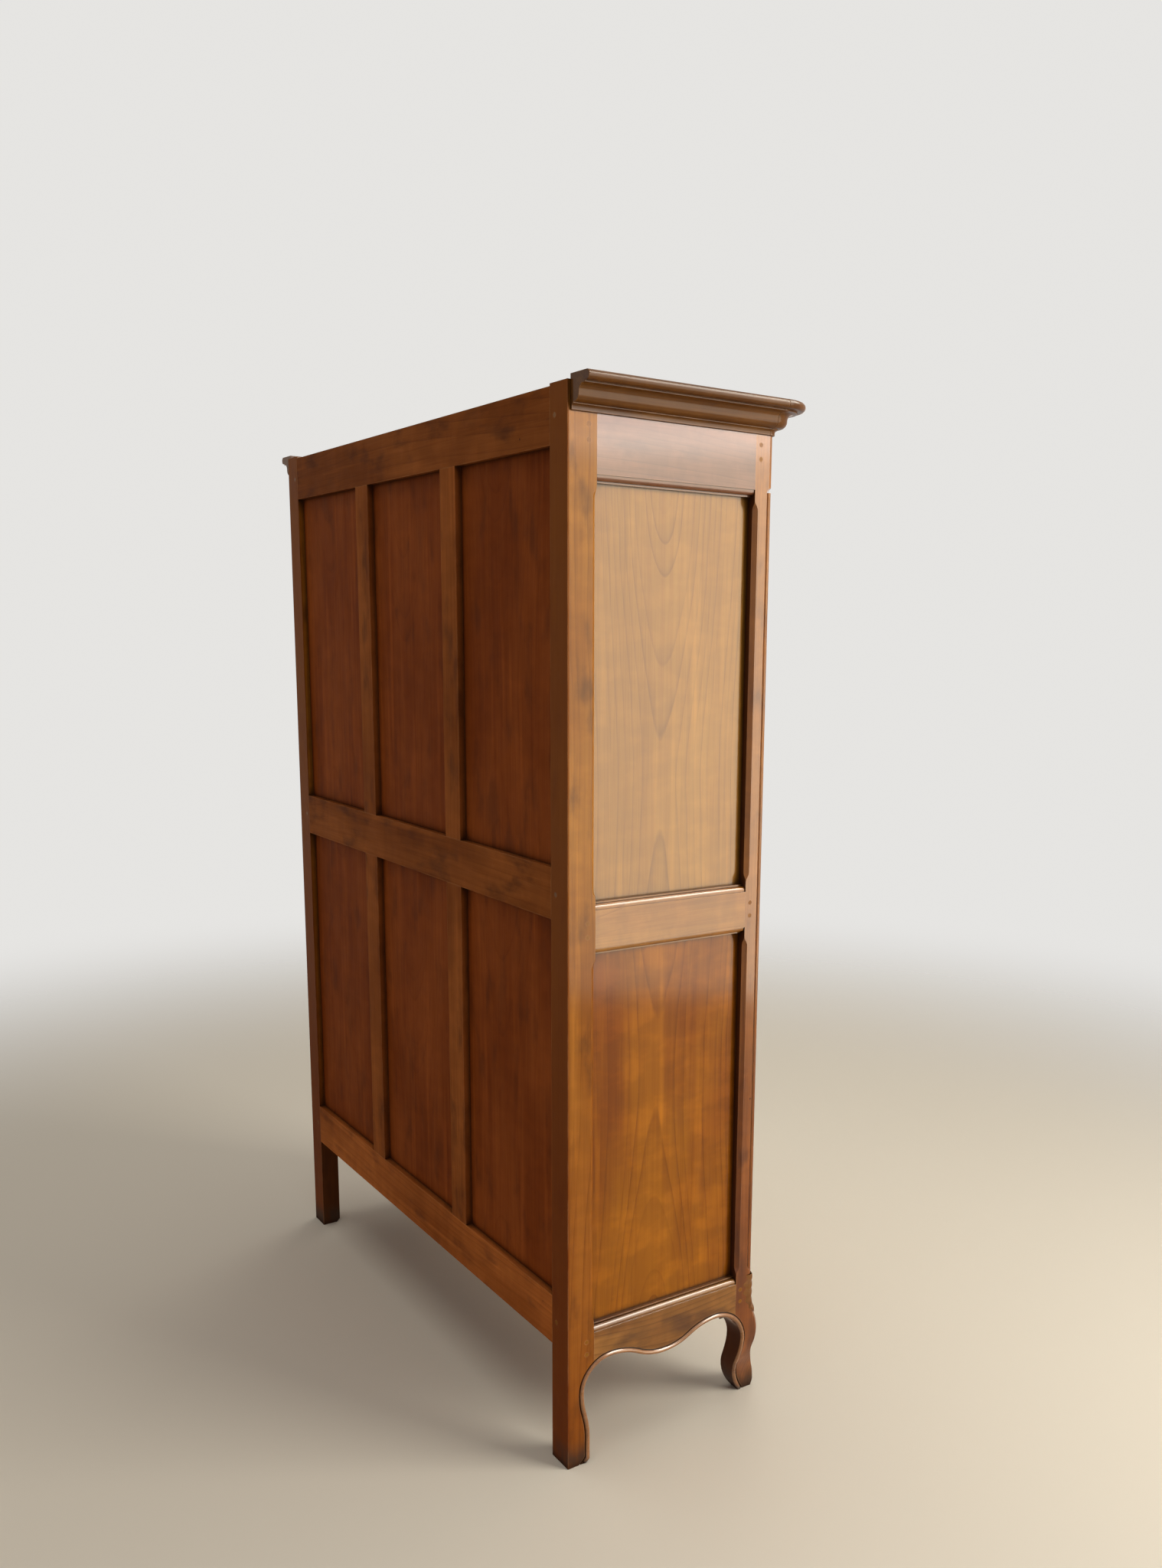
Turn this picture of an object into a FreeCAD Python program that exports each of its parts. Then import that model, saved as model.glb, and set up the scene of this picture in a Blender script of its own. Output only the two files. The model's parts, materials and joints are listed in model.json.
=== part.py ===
import FreeCAD, Part
import os
import re
import Sketcher

# Display cabinet of framed cherry panels with two glazed doors, in millimetres.
# X runs along the width, the doors face -Y, Z is up and the feet stand on z = 0.

SIZES = (
    # case and posts
    ("case_width", 1260.0),
    ("case_depth", 414.0),
    ("post_top", 1862.0),
    ("rear_post_x", 55.0),
    ("rear_post_y", 54.0),
    ("front_post_x", 50.0),
    ("front_post_y", 40.0),
    ("corner_round", 10.0),
    # joinery
    ("fit_gap", 0.2),
    ("panel_thick", 9.0),
    ("panel_tongue", 10.0),
    ("groove_room", 2.0),
    ("tenon_thick", 9.0),
    ("tenon_rear", 30.0),
    ("tenon_front", 22.0),
    ("tenon_inset", 16.0),
    ("tenon_short", 18.0),
    ("tenon_behind", 10.0),
    ("peg_radius", 4.0),
    ("peg_length", 34.0),
    ("peg_pitch", 24.0),
    ("peg_gap", 0.05),
    # back frame
    ("back_frame", 30.0),
    ("back_recess", 13.0),
    ("muntin_width", 62.0),
    ("back_top_set", 4.0),
    ("back_top_tall", 90.0),
    ("back_mid_low", 1000.0),
    ("back_mid_high", 1089.0),
    ("back_base_low", 222.0),
    ("back_base_high", 314.0),
    # side frames
    ("side_frame", 38.0),
    ("side_recess", 20.0),
    ("side_top_tall", 150.0),
    ("side_mid_low", 941.0),
    ("side_mid_high", 1031.0),
    ("side_apron_high", 262.0),
    ("moulding_high", 12.0),
    ("moulding_step", 2.0),
    ("moulding_round", 7.0),
    ("moulding_quirk", 2.4),
    ("edge_chamfer", 7.0),
    ("edge_stop", 20.0),
    ("edge_margin", 4.0),
    # scalloped bottom rails
    ("apron_crest", 194.0),
    ("apron_drop", 30.0),
    ("front_drop", 46.0),
    ("quirk_inset", 8.0),
    ("quirk_wide", 2.4),
    ("quirk_deep", 2.2),
    # rear feet
    ("rear_waist", 33.0),
    ("rear_arch", 56.0),
    ("rear_heel", 45.5),
    ("rear_heel_high", 52.0),
    ("rear_straight", 42.0),
    ("foot_chamfer", 8.0),
    # front feet
    ("front_waist_x", 45.0),
    ("front_waist_y", 24.5),
    ("front_arch", 64.0),
    ("leg_top", 218.0),
    ("knee_out", 18.0),
    ("knee_high", 140.0),
    ("ankle_out", 16.0),
    ("ankle_high", 82.0),
    ("toe_out", 38.0),
    ("toe_high", 9.0),
    ("toe_floor", 34.0),
    ("foot_in", 33.0),
    ("bend_high", 150.0),
    ("heel_x", 66.0),
    ("heel_x_high", 24.0),
    ("heel_x_floor", 13.0),
    ("heel_y", 27.0),
    ("heel_y_high", 78.0),
    ("heel_y_floor", 23.5),
    ("leg_cant", 6.0),
    # reeded corner of the front posts
    ("corner_cut", 14.0),
    ("corner_rise", 2.0),
    ("corner_drop", 125.0),
    ("corner_stop", 16.0),
    ("reed_radius", 5.5),
    # cornice
    ("cornice_lap", 46.0),
    ("cornice_high", 54.0),
    ("cornice_out", 56.0),
    ("cornice_bead", 4.0),
    ("cornice_hollow", 5.0),
    ("cornice_fillet", 2.0),
    ("cornice_set", 3.0),
    ("cornice_ovolo", 13.0),
    ("cornice_cove", 12.0),
    ("cornice_shelf", 5.0),
    ("cornice_torus", 7.5),
    ("cornice_joint", 13.0),
    ("cornice_back", 5.0),
    # front rails and boards
    ("frieze_tall", 138.0),
    ("board_thick", 18.0),
    ("board_gap", 1.0),
    ("ceiling_drop", 16.0),
    ("cleat_size", 22.0),
    # shelves
    ("rack_wide", 28.0),
    ("rack_thick", 14.0),
    ("tooth_pitch", 32.0),
    ("tooth_deep", 10.0),
    ("tooth_high", 24.0),
    ("tooth_first", 60.0),
    ("shelf_thick", 20.0),
    ("shelf_front", 6.0),
    ("shelf_low_tooth", 12.0),
    ("shelf_mid_tooth", 21.0),
    ("shelf_high_tooth", 31.0),
    ("bar_thick", 16.0),
    # doors
    ("door_side_gap", 2.4),
    ("door_meet_gap", 3.0),
    ("door_end_gap", 3.0),
    ("door_thick", 26.0),
    ("door_stile", 72.0),
    ("door_base_rail", 95.0),
    ("door_mid_low", 700.0),
    ("door_mid_high", 790.0),
    ("door_top_rail", 70.0),
    ("door_top_drop", 48.0),
    ("door_recess", 8.0),
    ("door_panel", 9.0),
    ("door_tenon", 40.0),
    ("glass_thick", 3.0),
    ("glass_lap", 8.0),
    ("glass_seat", 12.0),
    ("glass_gap", 0.4),
    ("stop_long", 120.0),
    ("stop_high", 14.0),
    ("stop_gap", 0.4),
    # hinges
    ("hinge_stand", 0.6),
    ("barrel_radius", 6.0),
    ("barrel_long", 52.0),
    ("pin_radius", 3.0),
    ("pin_gap", 0.05),
    ("pin_long", 40.0),
    ("leaf_thick", 0.9),
    ("leaf_deep", 20.0),
    ("barrel_gap", 0.4),
    ("finial_radius", 4.0),
    ("finial_neck", 2.5),
    ("hinge_base", 155.0),
    ("hinge_mid", 960.0),
    ("hinge_crown", 201.0),
    # lock, key and bolts
    ("lock_high", 1000.0),
    ("lock_wide", 60.0),
    ("lock_tall", 90.0),
    ("lock_deep", 14.0),
    ("lock_wall", 2.0),
    ("bolt_tall", 20.0),
    ("bolt_deep", 7.0),
    ("bolt_long", 44.0),
    ("bolt_throw", 12.0),
    ("keyhole_in", 34.0),
    ("keyhole_drop", 24.0),
    ("key_radius", 2.8),
    ("key_hole", 3.4),
    ("key_reach", 22.0),
    ("key_bow", 11.0),
    ("key_bow_wire", 2.6),
    ("key_bit_tall", 9.0),
    ("key_bit_thick", 2.6),
    ("plate_wide", 26.0),
    ("plate_tall", 150.0),
    ("plate_thick", 1.6),
    ("flush_wide", 10.0),
    ("flush_deep", 6.0),
    ("flush_long", 110.0),
    ("flush_in", 30.0),
    ("flush_gap", 0.4),
    ("flush_throw", 14.0),
    ("flush_end", 2.0),
    ("lock_set", 2.0),
    ("keeper_spare", 8.0),
    ("keeper_tall", 44.0),
    ("guide_wall", 2.0),
    ("guide_tall", 14.0),
    ("knob_radius", 4.0),
    ("knob_out", 9.0),
    # cutters reach past the faces they open by this much
    ("beyond", 12.0),
)

# Named places, each a formula of the sizes.
PLACES = {
    "half": "case_width / 2",
    "back": "(case_depth + cornice_out) / 2",
    "front": "back - case_depth",
    "rear_in": "back - rear_post_y",
    "front_in": "front + front_post_y",
    "rear_x": "half - rear_post_x",
    "front_x": "half - front_post_x",
    "side_x": "half - side_frame",
    "back_bay": "(2 * rear_x - 2 * muntin_width) / 3",
    "back_y": "back - back_frame",
    "back_top_high": "post_top - back_top_set",
    "back_top_low": "back_top_high - back_top_tall",
    "side_top_low": "post_top - side_top_tall",
    "frieze_low": "post_top - frieze_tall",
    "cornice_low": "post_top - cornice_lap",
    "ceiling_high": "post_top - ceiling_drop",
    "floor_high": "side_apron_high",
    "corner_low": "side_apron_high + corner_rise",
    "corner_high": "post_top - corner_drop",
    "rack_low": "floor_high",
    "rack_high": "side_top_low",
    "rear_waist_high": "apron_crest - rear_arch",
    "front_waist_high": "apron_crest - front_arch",
    "door_left": "-front_x + door_side_gap",
    "door_right": "-door_meet_gap / 2",
    "door_low": "side_apron_high + door_end_gap",
    "door_high": "frieze_low - door_end_gap",
    "door_back": "front + door_thick",
    "hinge_low": "door_low + hinge_base",
    "hinge_high": "door_high - hinge_crown",
    "hinge_x": "-front_x + door_side_gap / 2",
    "hinge_y": "front - barrel_radius - hinge_stand",
    "key_x": "-door_right + keyhole_in",
    "key_z": "lock_high - keyhole_drop",
    "bolt_low": "lock_high - bolt_tall / 2",
    "bolt_front": "door_back + (lock_deep - lock_wall - bolt_deep) / 2",
    "flush_x": "door_right - flush_in",
    "flush_front": "door_back + flush_gap",
}

doc = FreeCAD.newDocument("display_cabinet")
sheet = doc.addObject("Spreadsheet::Sheet", "Sizes")
for row, (alias, number) in enumerate(SIZES, 1):
    sheet.set(f"A{row}", alias)
    sheet.set(f"B{row}", str(number))
    sheet.setAlias(f"B{row}", alias)
doc.recompute()
NAMES = {alias for alias, number in SIZES}
UP = FreeCAD.Vector(0, 0, 1)


# A formula in plain names becomes an expression on the sheet's cells.
def bound(formula):
    def swap(match):
        word = match.group(0)
        if word in PLACES:
            return "(" + bound(PLACES[word]) + ")"
        return "Sizes." + word if word in NAMES else word
    return re.sub(r"[a-z_][a-z_0-9]*", swap, str(formula))


def number_of(formula):
    return float(sheet.evalExpression(bound(formula)))


# Span of a piece, grown on both ends.
def grown(span, gap):
    return (f"({span[0]}) - ({gap})", f"({span[1]}) + ({gap})")


# Same span on the other half of the cabinet.
def flipped(span):
    return (f"-({span[1]})", f"-({span[0]})")


def block(x, y, z):
    box = doc.addObject("Part::Box", "block")
    for size, axis, (low, high) in zip(("Length", "Width", "Height"), "xyz", (x, y, z)):
        box.setExpression(size, bound(f"({high}) - ({low})"))
        box.setExpression(f"Placement.Base.{axis}", bound(low))
    return box


TURNS = {
    "x": FreeCAD.Rotation(FreeCAD.Vector(0, 1, 0), 90),
    "y": FreeCAD.Rotation(FreeCAD.Vector(1, 0, 0), -90),
    "z": FreeCAD.Rotation(),
}


def rod(axis, start, radius, length):
    cylinder = doc.addObject("Part::Cylinder", "rod")
    cylinder.Placement = FreeCAD.Placement(FreeCAD.Vector(), TURNS[axis])
    cylinder.setExpression("Radius", bound(radius))
    cylinder.setExpression("Height", bound(length))
    for name, formula in zip("xyz", start):
        cylinder.setExpression(f"Placement.Base.{name}", bound(formula))
    return cylinder


def ball(centre, radius):
    sphere = doc.addObject("Part::Sphere", "ball")
    sphere.setExpression("Radius", bound(radius))
    for name, formula in zip("xyz", centre):
        sphere.setExpression(f"Placement.Base.{name}", bound(formula))
    return sphere


def join(pieces):
    if len(pieces) == 1:
        return pieces[0]
    fused = doc.addObject("Part::MultiFuse", "joined")
    fused.Shapes = pieces
    return fused


def cut(base, tools):
    if not tools:
        return base
    taken = doc.addObject("Part::Cut", "cut")
    taken.Base = base
    taken.Tool = join(tools)
    return taken


def shared(first, second):
    kept = doc.addObject("Part::Common", "shared")
    kept.Base = first
    kept.Tool = second
    return kept


def mirrored(source):
    copy = doc.addObject("Part::Mirroring", "mirrored")
    copy.Source = source
    copy.Normal = FreeCAD.Vector(1, 0, 0)
    return copy


def group(pieces):
    together = doc.addObject("Part::Compound", "group")
    together.Links = pieces
    return together


# Planes to draw on: sketch axes, and which place each plane is moved to.
PLANES = {
    "side": FreeCAD.Rotation(FreeCAD.Vector(1, 1, 1), 120),
    "front": FreeCAD.Rotation(FreeCAD.Vector(1, 0, 0), 90),
    "plan": FreeCAD.Rotation(),
}
MOVES = {"side": "x", "front": "y", "plan": "z"}


# Outline of points (u, v, centre): straight to the next point, or an arc about the centre.
def draw(sketch, steps, closed=True):
    points = [(number_of(u), number_of(v)) for u, v, centre in steps]
    count = len(steps) if closed else len(steps) - 1
    edges = []
    for index in range(count):
        start = FreeCAD.Vector(*points[index], 0)
        end = FreeCAD.Vector(*points[(index + 1) % len(points)], 0)
        centre = steps[index][2]
        if centre is None:
            edges.append((sketch.addGeometry(Part.LineSegment(start, end)), 1, 2))
            continue
        middle = FreeCAD.Vector(number_of(centre[0]), number_of(centre[1]), 0)
        leftward = (start - middle).cross(end - middle).z > 0
        circle = Part.Circle(middle, UP, (start - middle).Length)
        ends = (start, end) if leftward else (end, start)
        arc = Part.ArcOfCircle(circle, *(circle.parameter(point) for point in ends))
        edges.append((sketch.addGeometry(arc), 1 if leftward else 2, 2 if leftward else 1))
    for index, (edge, first, last) in enumerate(edges):
        if index + 1 < len(edges) or closed:
            following = edges[(index + 1) % len(edges)]
            sketch.addConstraint(Sketcher.Constraint("Coincident", edge, last, following[0], following[1]))
    for index, (u, v, centre) in enumerate(steps):
        edge, spot = edges[index][:2] if index < len(edges) else (edges[-1][0], edges[-1][2])
        for kind, formula, value in (("DistanceX", u, points[index][0]), ("DistanceY", v, points[index][1])):
            place = sketch.addConstraint(Sketcher.Constraint(kind, -1, 1, edge, spot, value))
            sketch.setExpression(f"Constraints[{place}]", bound(formula))
        if centre is not None:
            radius = f"sqrt((({u}) - ({centre[0]}))^2 + (({v}) - ({centre[1]}))^2)"
            place = sketch.addConstraint(Sketcher.Constraint("Radius", edge, number_of(radius)))
            sketch.setExpression(f"Constraints[{place}]", bound(radius))


def drawing(plane, at, steps, closed=True):
    sketch = doc.addObject("Sketcher::SketchObject", "outline")
    sketch.Placement = FreeCAD.Placement(FreeCAD.Vector(), PLANES[plane])
    draw(sketch, steps, closed)
    sketch.setExpression(f"Placement.Base.{MOVES[plane]}", bound(at))
    return sketch


def pulled(profile, length, both_ways=False):
    solid = doc.addObject("Part::Extrusion", "pulled")
    solid.Base = profile
    solid.DirMode = "Normal"
    solid.Solid = True
    solid.Symmetric = both_ways
    solid.setExpression("LengthFwd", bound(length))
    return solid


# Solid of an outline drawn on a plane, between two places across that plane.
def slab(plane, span, steps):
    start = span[1] if plane == "front" else span[0]
    return pulled(drawing(plane, start, steps), f"({span[1]}) - ({span[0]})")


# Points of a smooth swing from p to q, upright at both ends, as two equal arcs.
def swing(p, q):
    reach = f"(({q[0]}) - ({p[0]}))"
    rise = f"(({q[1]}) - ({p[1]}))"
    radius = f"(({reach}^2 + {rise}^2) / (4 * {reach}))"
    middle = (f"(({p[0]}) + ({q[0]})) / 2", f"(({p[1]}) + ({q[1]})) / 2")
    return [
        (p[0], p[1], (f"({p[0]}) + {radius}", p[1])),
        (middle[0], middle[1], (f"({q[0]}) - {radius}", q[1])),
    ]


# The same between two points where the curve runs level.
def wave(p, q):
    turned = swing((p[1], p[0]), (q[1], q[0]))
    return [(v, u, (centre[1], centre[0])) for u, v, centre in turned]


PARTS = {}
HOLES = {}


# A blank waits in PARTS until every piece that enters it has added its hole.
def blank(name, solid):
    PARTS[name] = solid
    HOLES.setdefault(name, [])


def hole(hosts, tool):
    for host in hosts:
        HOLES.setdefault(host, []).append(tool)


# Tongue, tenon or board let into its hosts with room around it.
def let_in(hosts, x, y, z, room_x, room_y, room_z):
    hole(hosts, block(grown(x, room_x), grown(y, room_y), grown(z, room_z)))


# Space under one side: rear foot, scalloped rail and inner edge of the front foot.
def space_under_side():
    rear = ("back - rear_waist - rear_arch", "apron_crest")
    fore = ("front + front_waist_y + front_arch", "apron_crest")
    middle = (f"({rear[0]} + {fore[0]}) / 2", "apron_crest - apron_drop")
    waist = ("front + front_waist_y", "front_waist_high")
    heel = ("front + heel_y", "heel_y_high")
    bend = "((heel_y_floor^2 + heel_y_high^2) / (2 * heel_y_floor))"
    steps = [("back - rear_heel + foot_chamfer + beyond", "-beyond", None)]
    steps += [("back - rear_heel", "foot_chamfer", None)]
    steps += swing(("back - rear_heel", "rear_heel_high"), ("back - rear_waist", "rear_waist_high"))
    steps += [("back - rear_waist", "rear_waist_high", (rear[0], "rear_waist_high"))]
    steps += wave(rear, middle) + wave(middle, fore)
    steps += [(fore[0], fore[1], (fore[0], "front_waist_high"))]
    steps += swing(waist, heel)
    steps += [(heel[0], heel[1], (f"{heel[0]} - {bend}", "heel_y_high"))]
    steps += [("front + heel_y - heel_y_floor", "0", None)]
    steps += [("front + heel_y - heel_y_floor", "-beyond", None)]
    return steps


# Space under the front, the same on both halves.
def space_under_front():
    crest = "half - front_waist_x - front_arch"
    bend = "((heel_x_floor^2 + heel_x_high^2) / (2 * heel_x_floor))"
    toe = "half - heel_x + heel_x_floor"
    right = [(toe, "-beyond", None), (toe, "0", (f"half - heel_x + {bend}", "heel_x_high"))]
    right += swing(("half - heel_x", "heel_x_high"), ("half - front_waist_x", "front_waist_high"))
    right += [("half - front_waist_x", "front_waist_high", (crest, "front_waist_high"))]
    right += wave((crest, "apron_crest"), ("0", "apron_crest - front_drop"))
    left = wave(("0", "apron_crest - front_drop"), (f"-({crest})", "apron_crest"))
    left += [(f"-({crest})", "apron_crest", (f"-({crest})", "front_waist_high"))]
    left += swing(("-(half - front_waist_x)", "front_waist_high"), ("-(half - heel_x)", "heel_x_high"))
    left += [("-(half - heel_x)", "heel_x_high", (f"-(half - heel_x) - {bend}", "heel_x_high"))]
    left += [(f"-({toe})", "0", None), (f"-({toe})", "-beyond", None)]
    return right + left


def widened(sketch, by):
    wider = doc.addObject("Part::Offset2D", "widened")
    wider.Source = sketch
    wider.setExpression("Value", bound(by))
    return wider


# Thin ring that runs along the edge of a space, for the quirk beside the bead.
def ring(plane, at, steps, length):
    outer = pulled(widened(drawing(plane, at, steps), "quirk_inset + quirk_wide"), length)
    inner = pulled(widened(drawing(plane, at, steps), "quirk_inset"), length)
    return cut(outer, [inner])


# Edge of a front foot from the floor up: toe, ankle and knee, each so far out.
def leg_curve(out, toe, floor, ankle, knee):
    steps = [(out(floor), "-beyond", None), (out(floor), "0", None)]
    steps += swing((out(toe), "toe_high"), (out(ankle), "ankle_high"))
    steps += swing((out(ankle), "ankle_high"), (out(knee), "knee_high"))
    steps += swing((out(knee), "knee_high"), (out("0"), "leg_top"))
    return steps + [(out("0"), "leg_top", None)]


def front_edge(shift):
    def out(amount):
        return f"front - ({amount}) + ({shift})"
    return leg_curve(out, "toe_out", "toe_floor", "ankle_out", "knee_out")


# Side edge of a front foot, which turns in under the case.
def side_edge(shift):
    def at(amount):
        return f"-half + ({amount}) + ({shift})"
    steps = [(at("foot_in"), "-beyond", None)]
    steps += swing((at("foot_in"), "0"), (at("0"), "bend_high"))
    return steps + [(at("0"), "bend_high", None), (at("0"), "leg_top", None)]


# Cutter along an upright edge at (x, y): a chamfer with curved stops at both ends.
def stopped_chamfer(x, y, outward, low, high, size, run):
    direction = FreeCAD.Vector(outward[0], outward[1], 0).normalize()
    depth = f"({size}) / sqrt(2)"
    inner_low = (f"-({depth})", f"({low}) + ({run})")
    inner_high = (f"-({depth})", f"({high}) - ({run})")
    steps = swing(("0", low), inner_low)
    steps += [(*inner_low, None)]
    steps += swing(inner_high, ("0", high))
    steps += [("0", high, None), ("beyond", high, None), ("beyond", low, None)]
    sketch = doc.addObject("Sketcher::SketchObject", "edge")
    turn = FreeCAD.Rotation(direction, UP, direction.cross(UP), "XYZ")
    sketch.Placement = FreeCAD.Placement(FreeCAD.Vector(), turn)
    draw(sketch, steps)
    sketch.setExpression("Placement.Base.x", bound(x))
    sketch.setExpression("Placement.Base.y", bound(y))
    return pulled(sketch, "4 * beyond", True)


# Rear post of the left side, with its shaped foot.
blank("rear_post_left", block(("-half", "-rear_x"), ("rear_in", "back"), ("0", "post_top")))
side_space = slab("side", ("-half - beyond", "-half + 2 * front_post_x"), space_under_side())
side_quirk = ring("side", "-half - beyond", space_under_side(), "beyond + quirk_deep")
hole(["rear_post_left"], slab("side", ("-half - beyond", "-side_x"), space_under_side()))
hole(["rear_post_left"], side_quirk)

# Behind the thickness of the side rail the rear foot is straight.
straight_edge = "back - rear_straight"
straight_space = [
    (f"{straight_edge} + foot_chamfer + beyond", "-beyond", None),
    (straight_edge, "foot_chamfer", None),
    (straight_edge, "apron_crest", None),
    ("rear_in - beyond", "apron_crest", None),
    ("rear_in - beyond", "-beyond", None),
]
hole(["rear_post_left"], slab("side", ("-side_x", "-rear_x + beyond"), straight_space))

# Front post of the left side: straight post with a rounded corner over a cabriole foot.
corner_centre = ("-half + corner_round", "front + corner_round")
post_section = [
    ("-half + corner_round", "front", None),
    ("-front_x", "front", None),
    ("-front_x", "front_in", None),
    ("-half", "front_in", None),
    ("-half", "front + corner_round", corner_centre),
]
upper_post = slab("plan", ("leg_top", "post_top"), post_section)
leg_inside = "-half + heel_x + beyond"
leg_before = "front - toe_out - beyond"
leg_deep = slab("side", ("-half - beyond", leg_inside),
                front_edge("0") + [("front_in", "leg_top", None), ("front_in", "-beyond", None)])
leg_wide = slab("front", (leg_before, "front_in"), side_edge("0") + [
    ("-front_x", "leg_top", None),
    ("-front_x", "front_waist_high", None),
    (leg_inside, "front_waist_high", None),
    (leg_inside, "-beyond", None),
])
leg = shared(leg_deep, leg_wide)
floor_cut = block(("-half - beyond", "0"), (leg_before, "back"), ("-2 * beyond", "0"))
cant = doc.addObject("Sketcher::SketchObject", "cant")
cant_out = FreeCAD.Vector(-1, -1, 0).normalize()
cant_turn = FreeCAD.Rotation(-cant_out, UP, (-cant_out).cross(UP), "XYZ")
cant.Placement = FreeCAD.Placement(FreeCAD.Vector(), cant_turn)
ankle_corner = "ankle_out - 2 * foot_in * (1 - ankle_high / bend_high)^2"
cant_edge = leg_curve(lambda amount: f"(leg_cant - ({amount})) / sqrt(2)", "toe_out - foot_in",
                      "toe_floor - foot_in", ankle_corner, "knee_out")
cant_edge[-1] = (cant_edge[-1][0], "leg_top + beyond", None)
draw(cant, cant_edge + [("-4 * beyond", "leg_top + beyond", None), ("-4 * beyond", "-beyond", None)])
cant.setExpression("Placement.Base.x", bound("-half"))
cant.setExpression("Placement.Base.y", bound("front"))
canted = pulled(cant, "12 * beyond", True)
front_space = slab("front", (leg_before, "front + 2 * front_post_y"), space_under_front())
leg = cut(leg, [join([side_space, front_space, floor_cut])])
leg = cut(leg, [canted])
side_skin = slab("front", (leg_before, "front_in + beyond"),
                 side_edge("quirk_deep") + [("0", "leg_top", None), ("0", "-beyond", None)])
front_skin = slab("side", ("-half - beyond", "beyond"),
                  front_edge("quirk_deep") + [("back", "leg_top", None), ("back", "-beyond", None)])
leg_side_ring = ring("side", "-half - beyond", space_under_side(), "beyond + front_post_x")
leg_front_ring = ring("front", "front_in", space_under_front(), "toe_out + beyond + front_post_y")
leg = cut(leg, [cut(leg_side_ring, [side_skin])])
leg = cut(leg, [cut(leg_front_ring, [front_skin])])
corner = stopped_chamfer("-half", "front", (-1, -1), "corner_low", "corner_high", "corner_cut", "corner_stop")
reed_place = ("-half + corner_cut / 2", "front + corner_cut / 2", "corner_low + corner_stop / 2")
reed = rod("z", reed_place, "reed_radius", "corner_high - corner_low - 1.5 * corner_stop")
blank("front_post_left", join([cut(join([upper_post, leg]), [corner]), reed]))

# Chamfers along the panel openings of the side posts.
for low, high in (("side_mid_high", "side_top_low"), ("side_apron_high", "side_mid_low")):
    for host, edge_y, away in (("rear_post_left", "rear_in", -1), ("front_post_left", "front_in", 1)):
        span = (f"{low} + edge_margin", f"{high} - edge_margin")
        hole([host], stopped_chamfer("-half", edge_y, (-1, away), *span, "edge_chamfer", "edge_stop"))

# Left side rails: moulded section, pulled from post to post, with a tenon at each end.
SIDE_DEPTH = ("-half + side_recess", "-half + side_recess + tenon_thick")


def moulded_edge(height, way):
    def at(deep, up):
        return (f"-half + {deep}", f"{height} {way} ({up})")
    curve = "moulding_step + moulding_round"
    inner = f"{curve} + moulding_step"
    below = "moulding_high"
    crown = f"{below} - moulding_step - moulding_round"
    return [
        (*at("0", below), None),
        (*at("moulding_step", below), None),
        (*at("moulding_step", f"{below} - moulding_step"), at(curve, f"{below} - moulding_step")),
        (*at(curve, crown), None),
        (*at(curve, f"{crown} + moulding_quirk"), None),
        (*at(inner, f"{crown} + moulding_quirk"), None),
        (*at(inner, "0"), None),
    ]


def reversed_chain(steps):
    turned = []
    for index in range(len(steps) - 1, -1, -1):
        centre = steps[index - 1][2] if index > 0 else None
        turned.append((steps[index][0], steps[index][1], centre))
    return turned


def pegs_across(z_low, z_high):
    middle = f"(({z_low}) + ({z_high})) / 2"
    return (f"{middle} - peg_pitch / 2", f"{middle} + peg_pitch / 2")


LEFT_PEGS = []


def peg(hosts, axis, start, store):
    store.append(rod(axis, start, "peg_radius", "peg_length"))
    hole(hosts, rod(axis, start, "peg_radius + peg_gap", "peg_length"))


def side_rail(name, low, high, moulded_low, moulded_high, tenon):
    top = moulded_edge(high, "-") if moulded_high else [("-half", high, None)]
    base = moulded_edge(low, "+") if moulded_low else [("-half", low, None)]
    outline = top + [("-side_x", high, None), ("-side_x", low, None)] + reversed_chain(base)
    body = slab("front", ("front_in", "rear_in"), outline)
    ends = (
        ("rear_post_left", ("rear_in", "rear_in + tenon_rear"), "rear_in + tenon_rear / 2"),
        ("front_post_left", ("front_in - tenon_front", "front_in"), "front_in - tenon_front / 2"),
    )
    tenons = []
    for host, y, peg_y in ends:
        tenons.append(block(SIDE_DEPTH, y, tenon))
        let_in([host], SIDE_DEPTH, y, tenon, "fit_gap", "fit_gap", "fit_gap")
        for z in pegs_across(*tenon):
            peg([host, name], "x", ("-half", peg_y, z), LEFT_PEGS)
    blank(name, join([body] + tenons))


def inset(low, high):
    return (f"{low} + tenon_inset", f"{high} - tenon_inset")


side_rail("side_top_rail_left", "side_top_low", "post_top", True, False, inset("side_top_low", "post_top"))
side_rail("side_middle_rail_left", "side_mid_low", "side_mid_high", True, True,
          inset("side_mid_low", "side_mid_high"))
side_rail("side_apron_left", "apron_crest - apron_drop - beyond", "side_apron_high", False, True,
          inset("apron_crest - tenon_inset / 2", "side_apron_high"))
hole(["side_apron_left"], side_space)
hole(["side_apron_left"], side_quirk)

# Left side panels, loose in the grooves of their frame.
PANEL_DEPTH = ("-half + side_recess", "-half + side_recess + panel_thick")
PANEL_WIDE = ("front_in - panel_tongue", "rear_in + panel_tongue")
SIDE_PANELS = (
    ("side_upper_panel_left", "side_middle_rail_left", "side_top_rail_left", "side_mid_high", "side_top_low"),
    ("side_lower_panel_left", "side_apron_left", "side_middle_rail_left", "side_apron_high", "side_mid_low"),
)
for name, below, above, low, high in SIDE_PANELS:
    z = (f"{low} - panel_tongue", f"{high} + panel_tongue")
    blank(name, block(PANEL_DEPTH, PANEL_WIDE, z))
    hosts = ["rear_post_left", "front_post_left", below, above]
    let_in(hosts, PANEL_DEPTH, PANEL_WIDE, z, "fit_gap", "groove_room", "groove_room")

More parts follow.
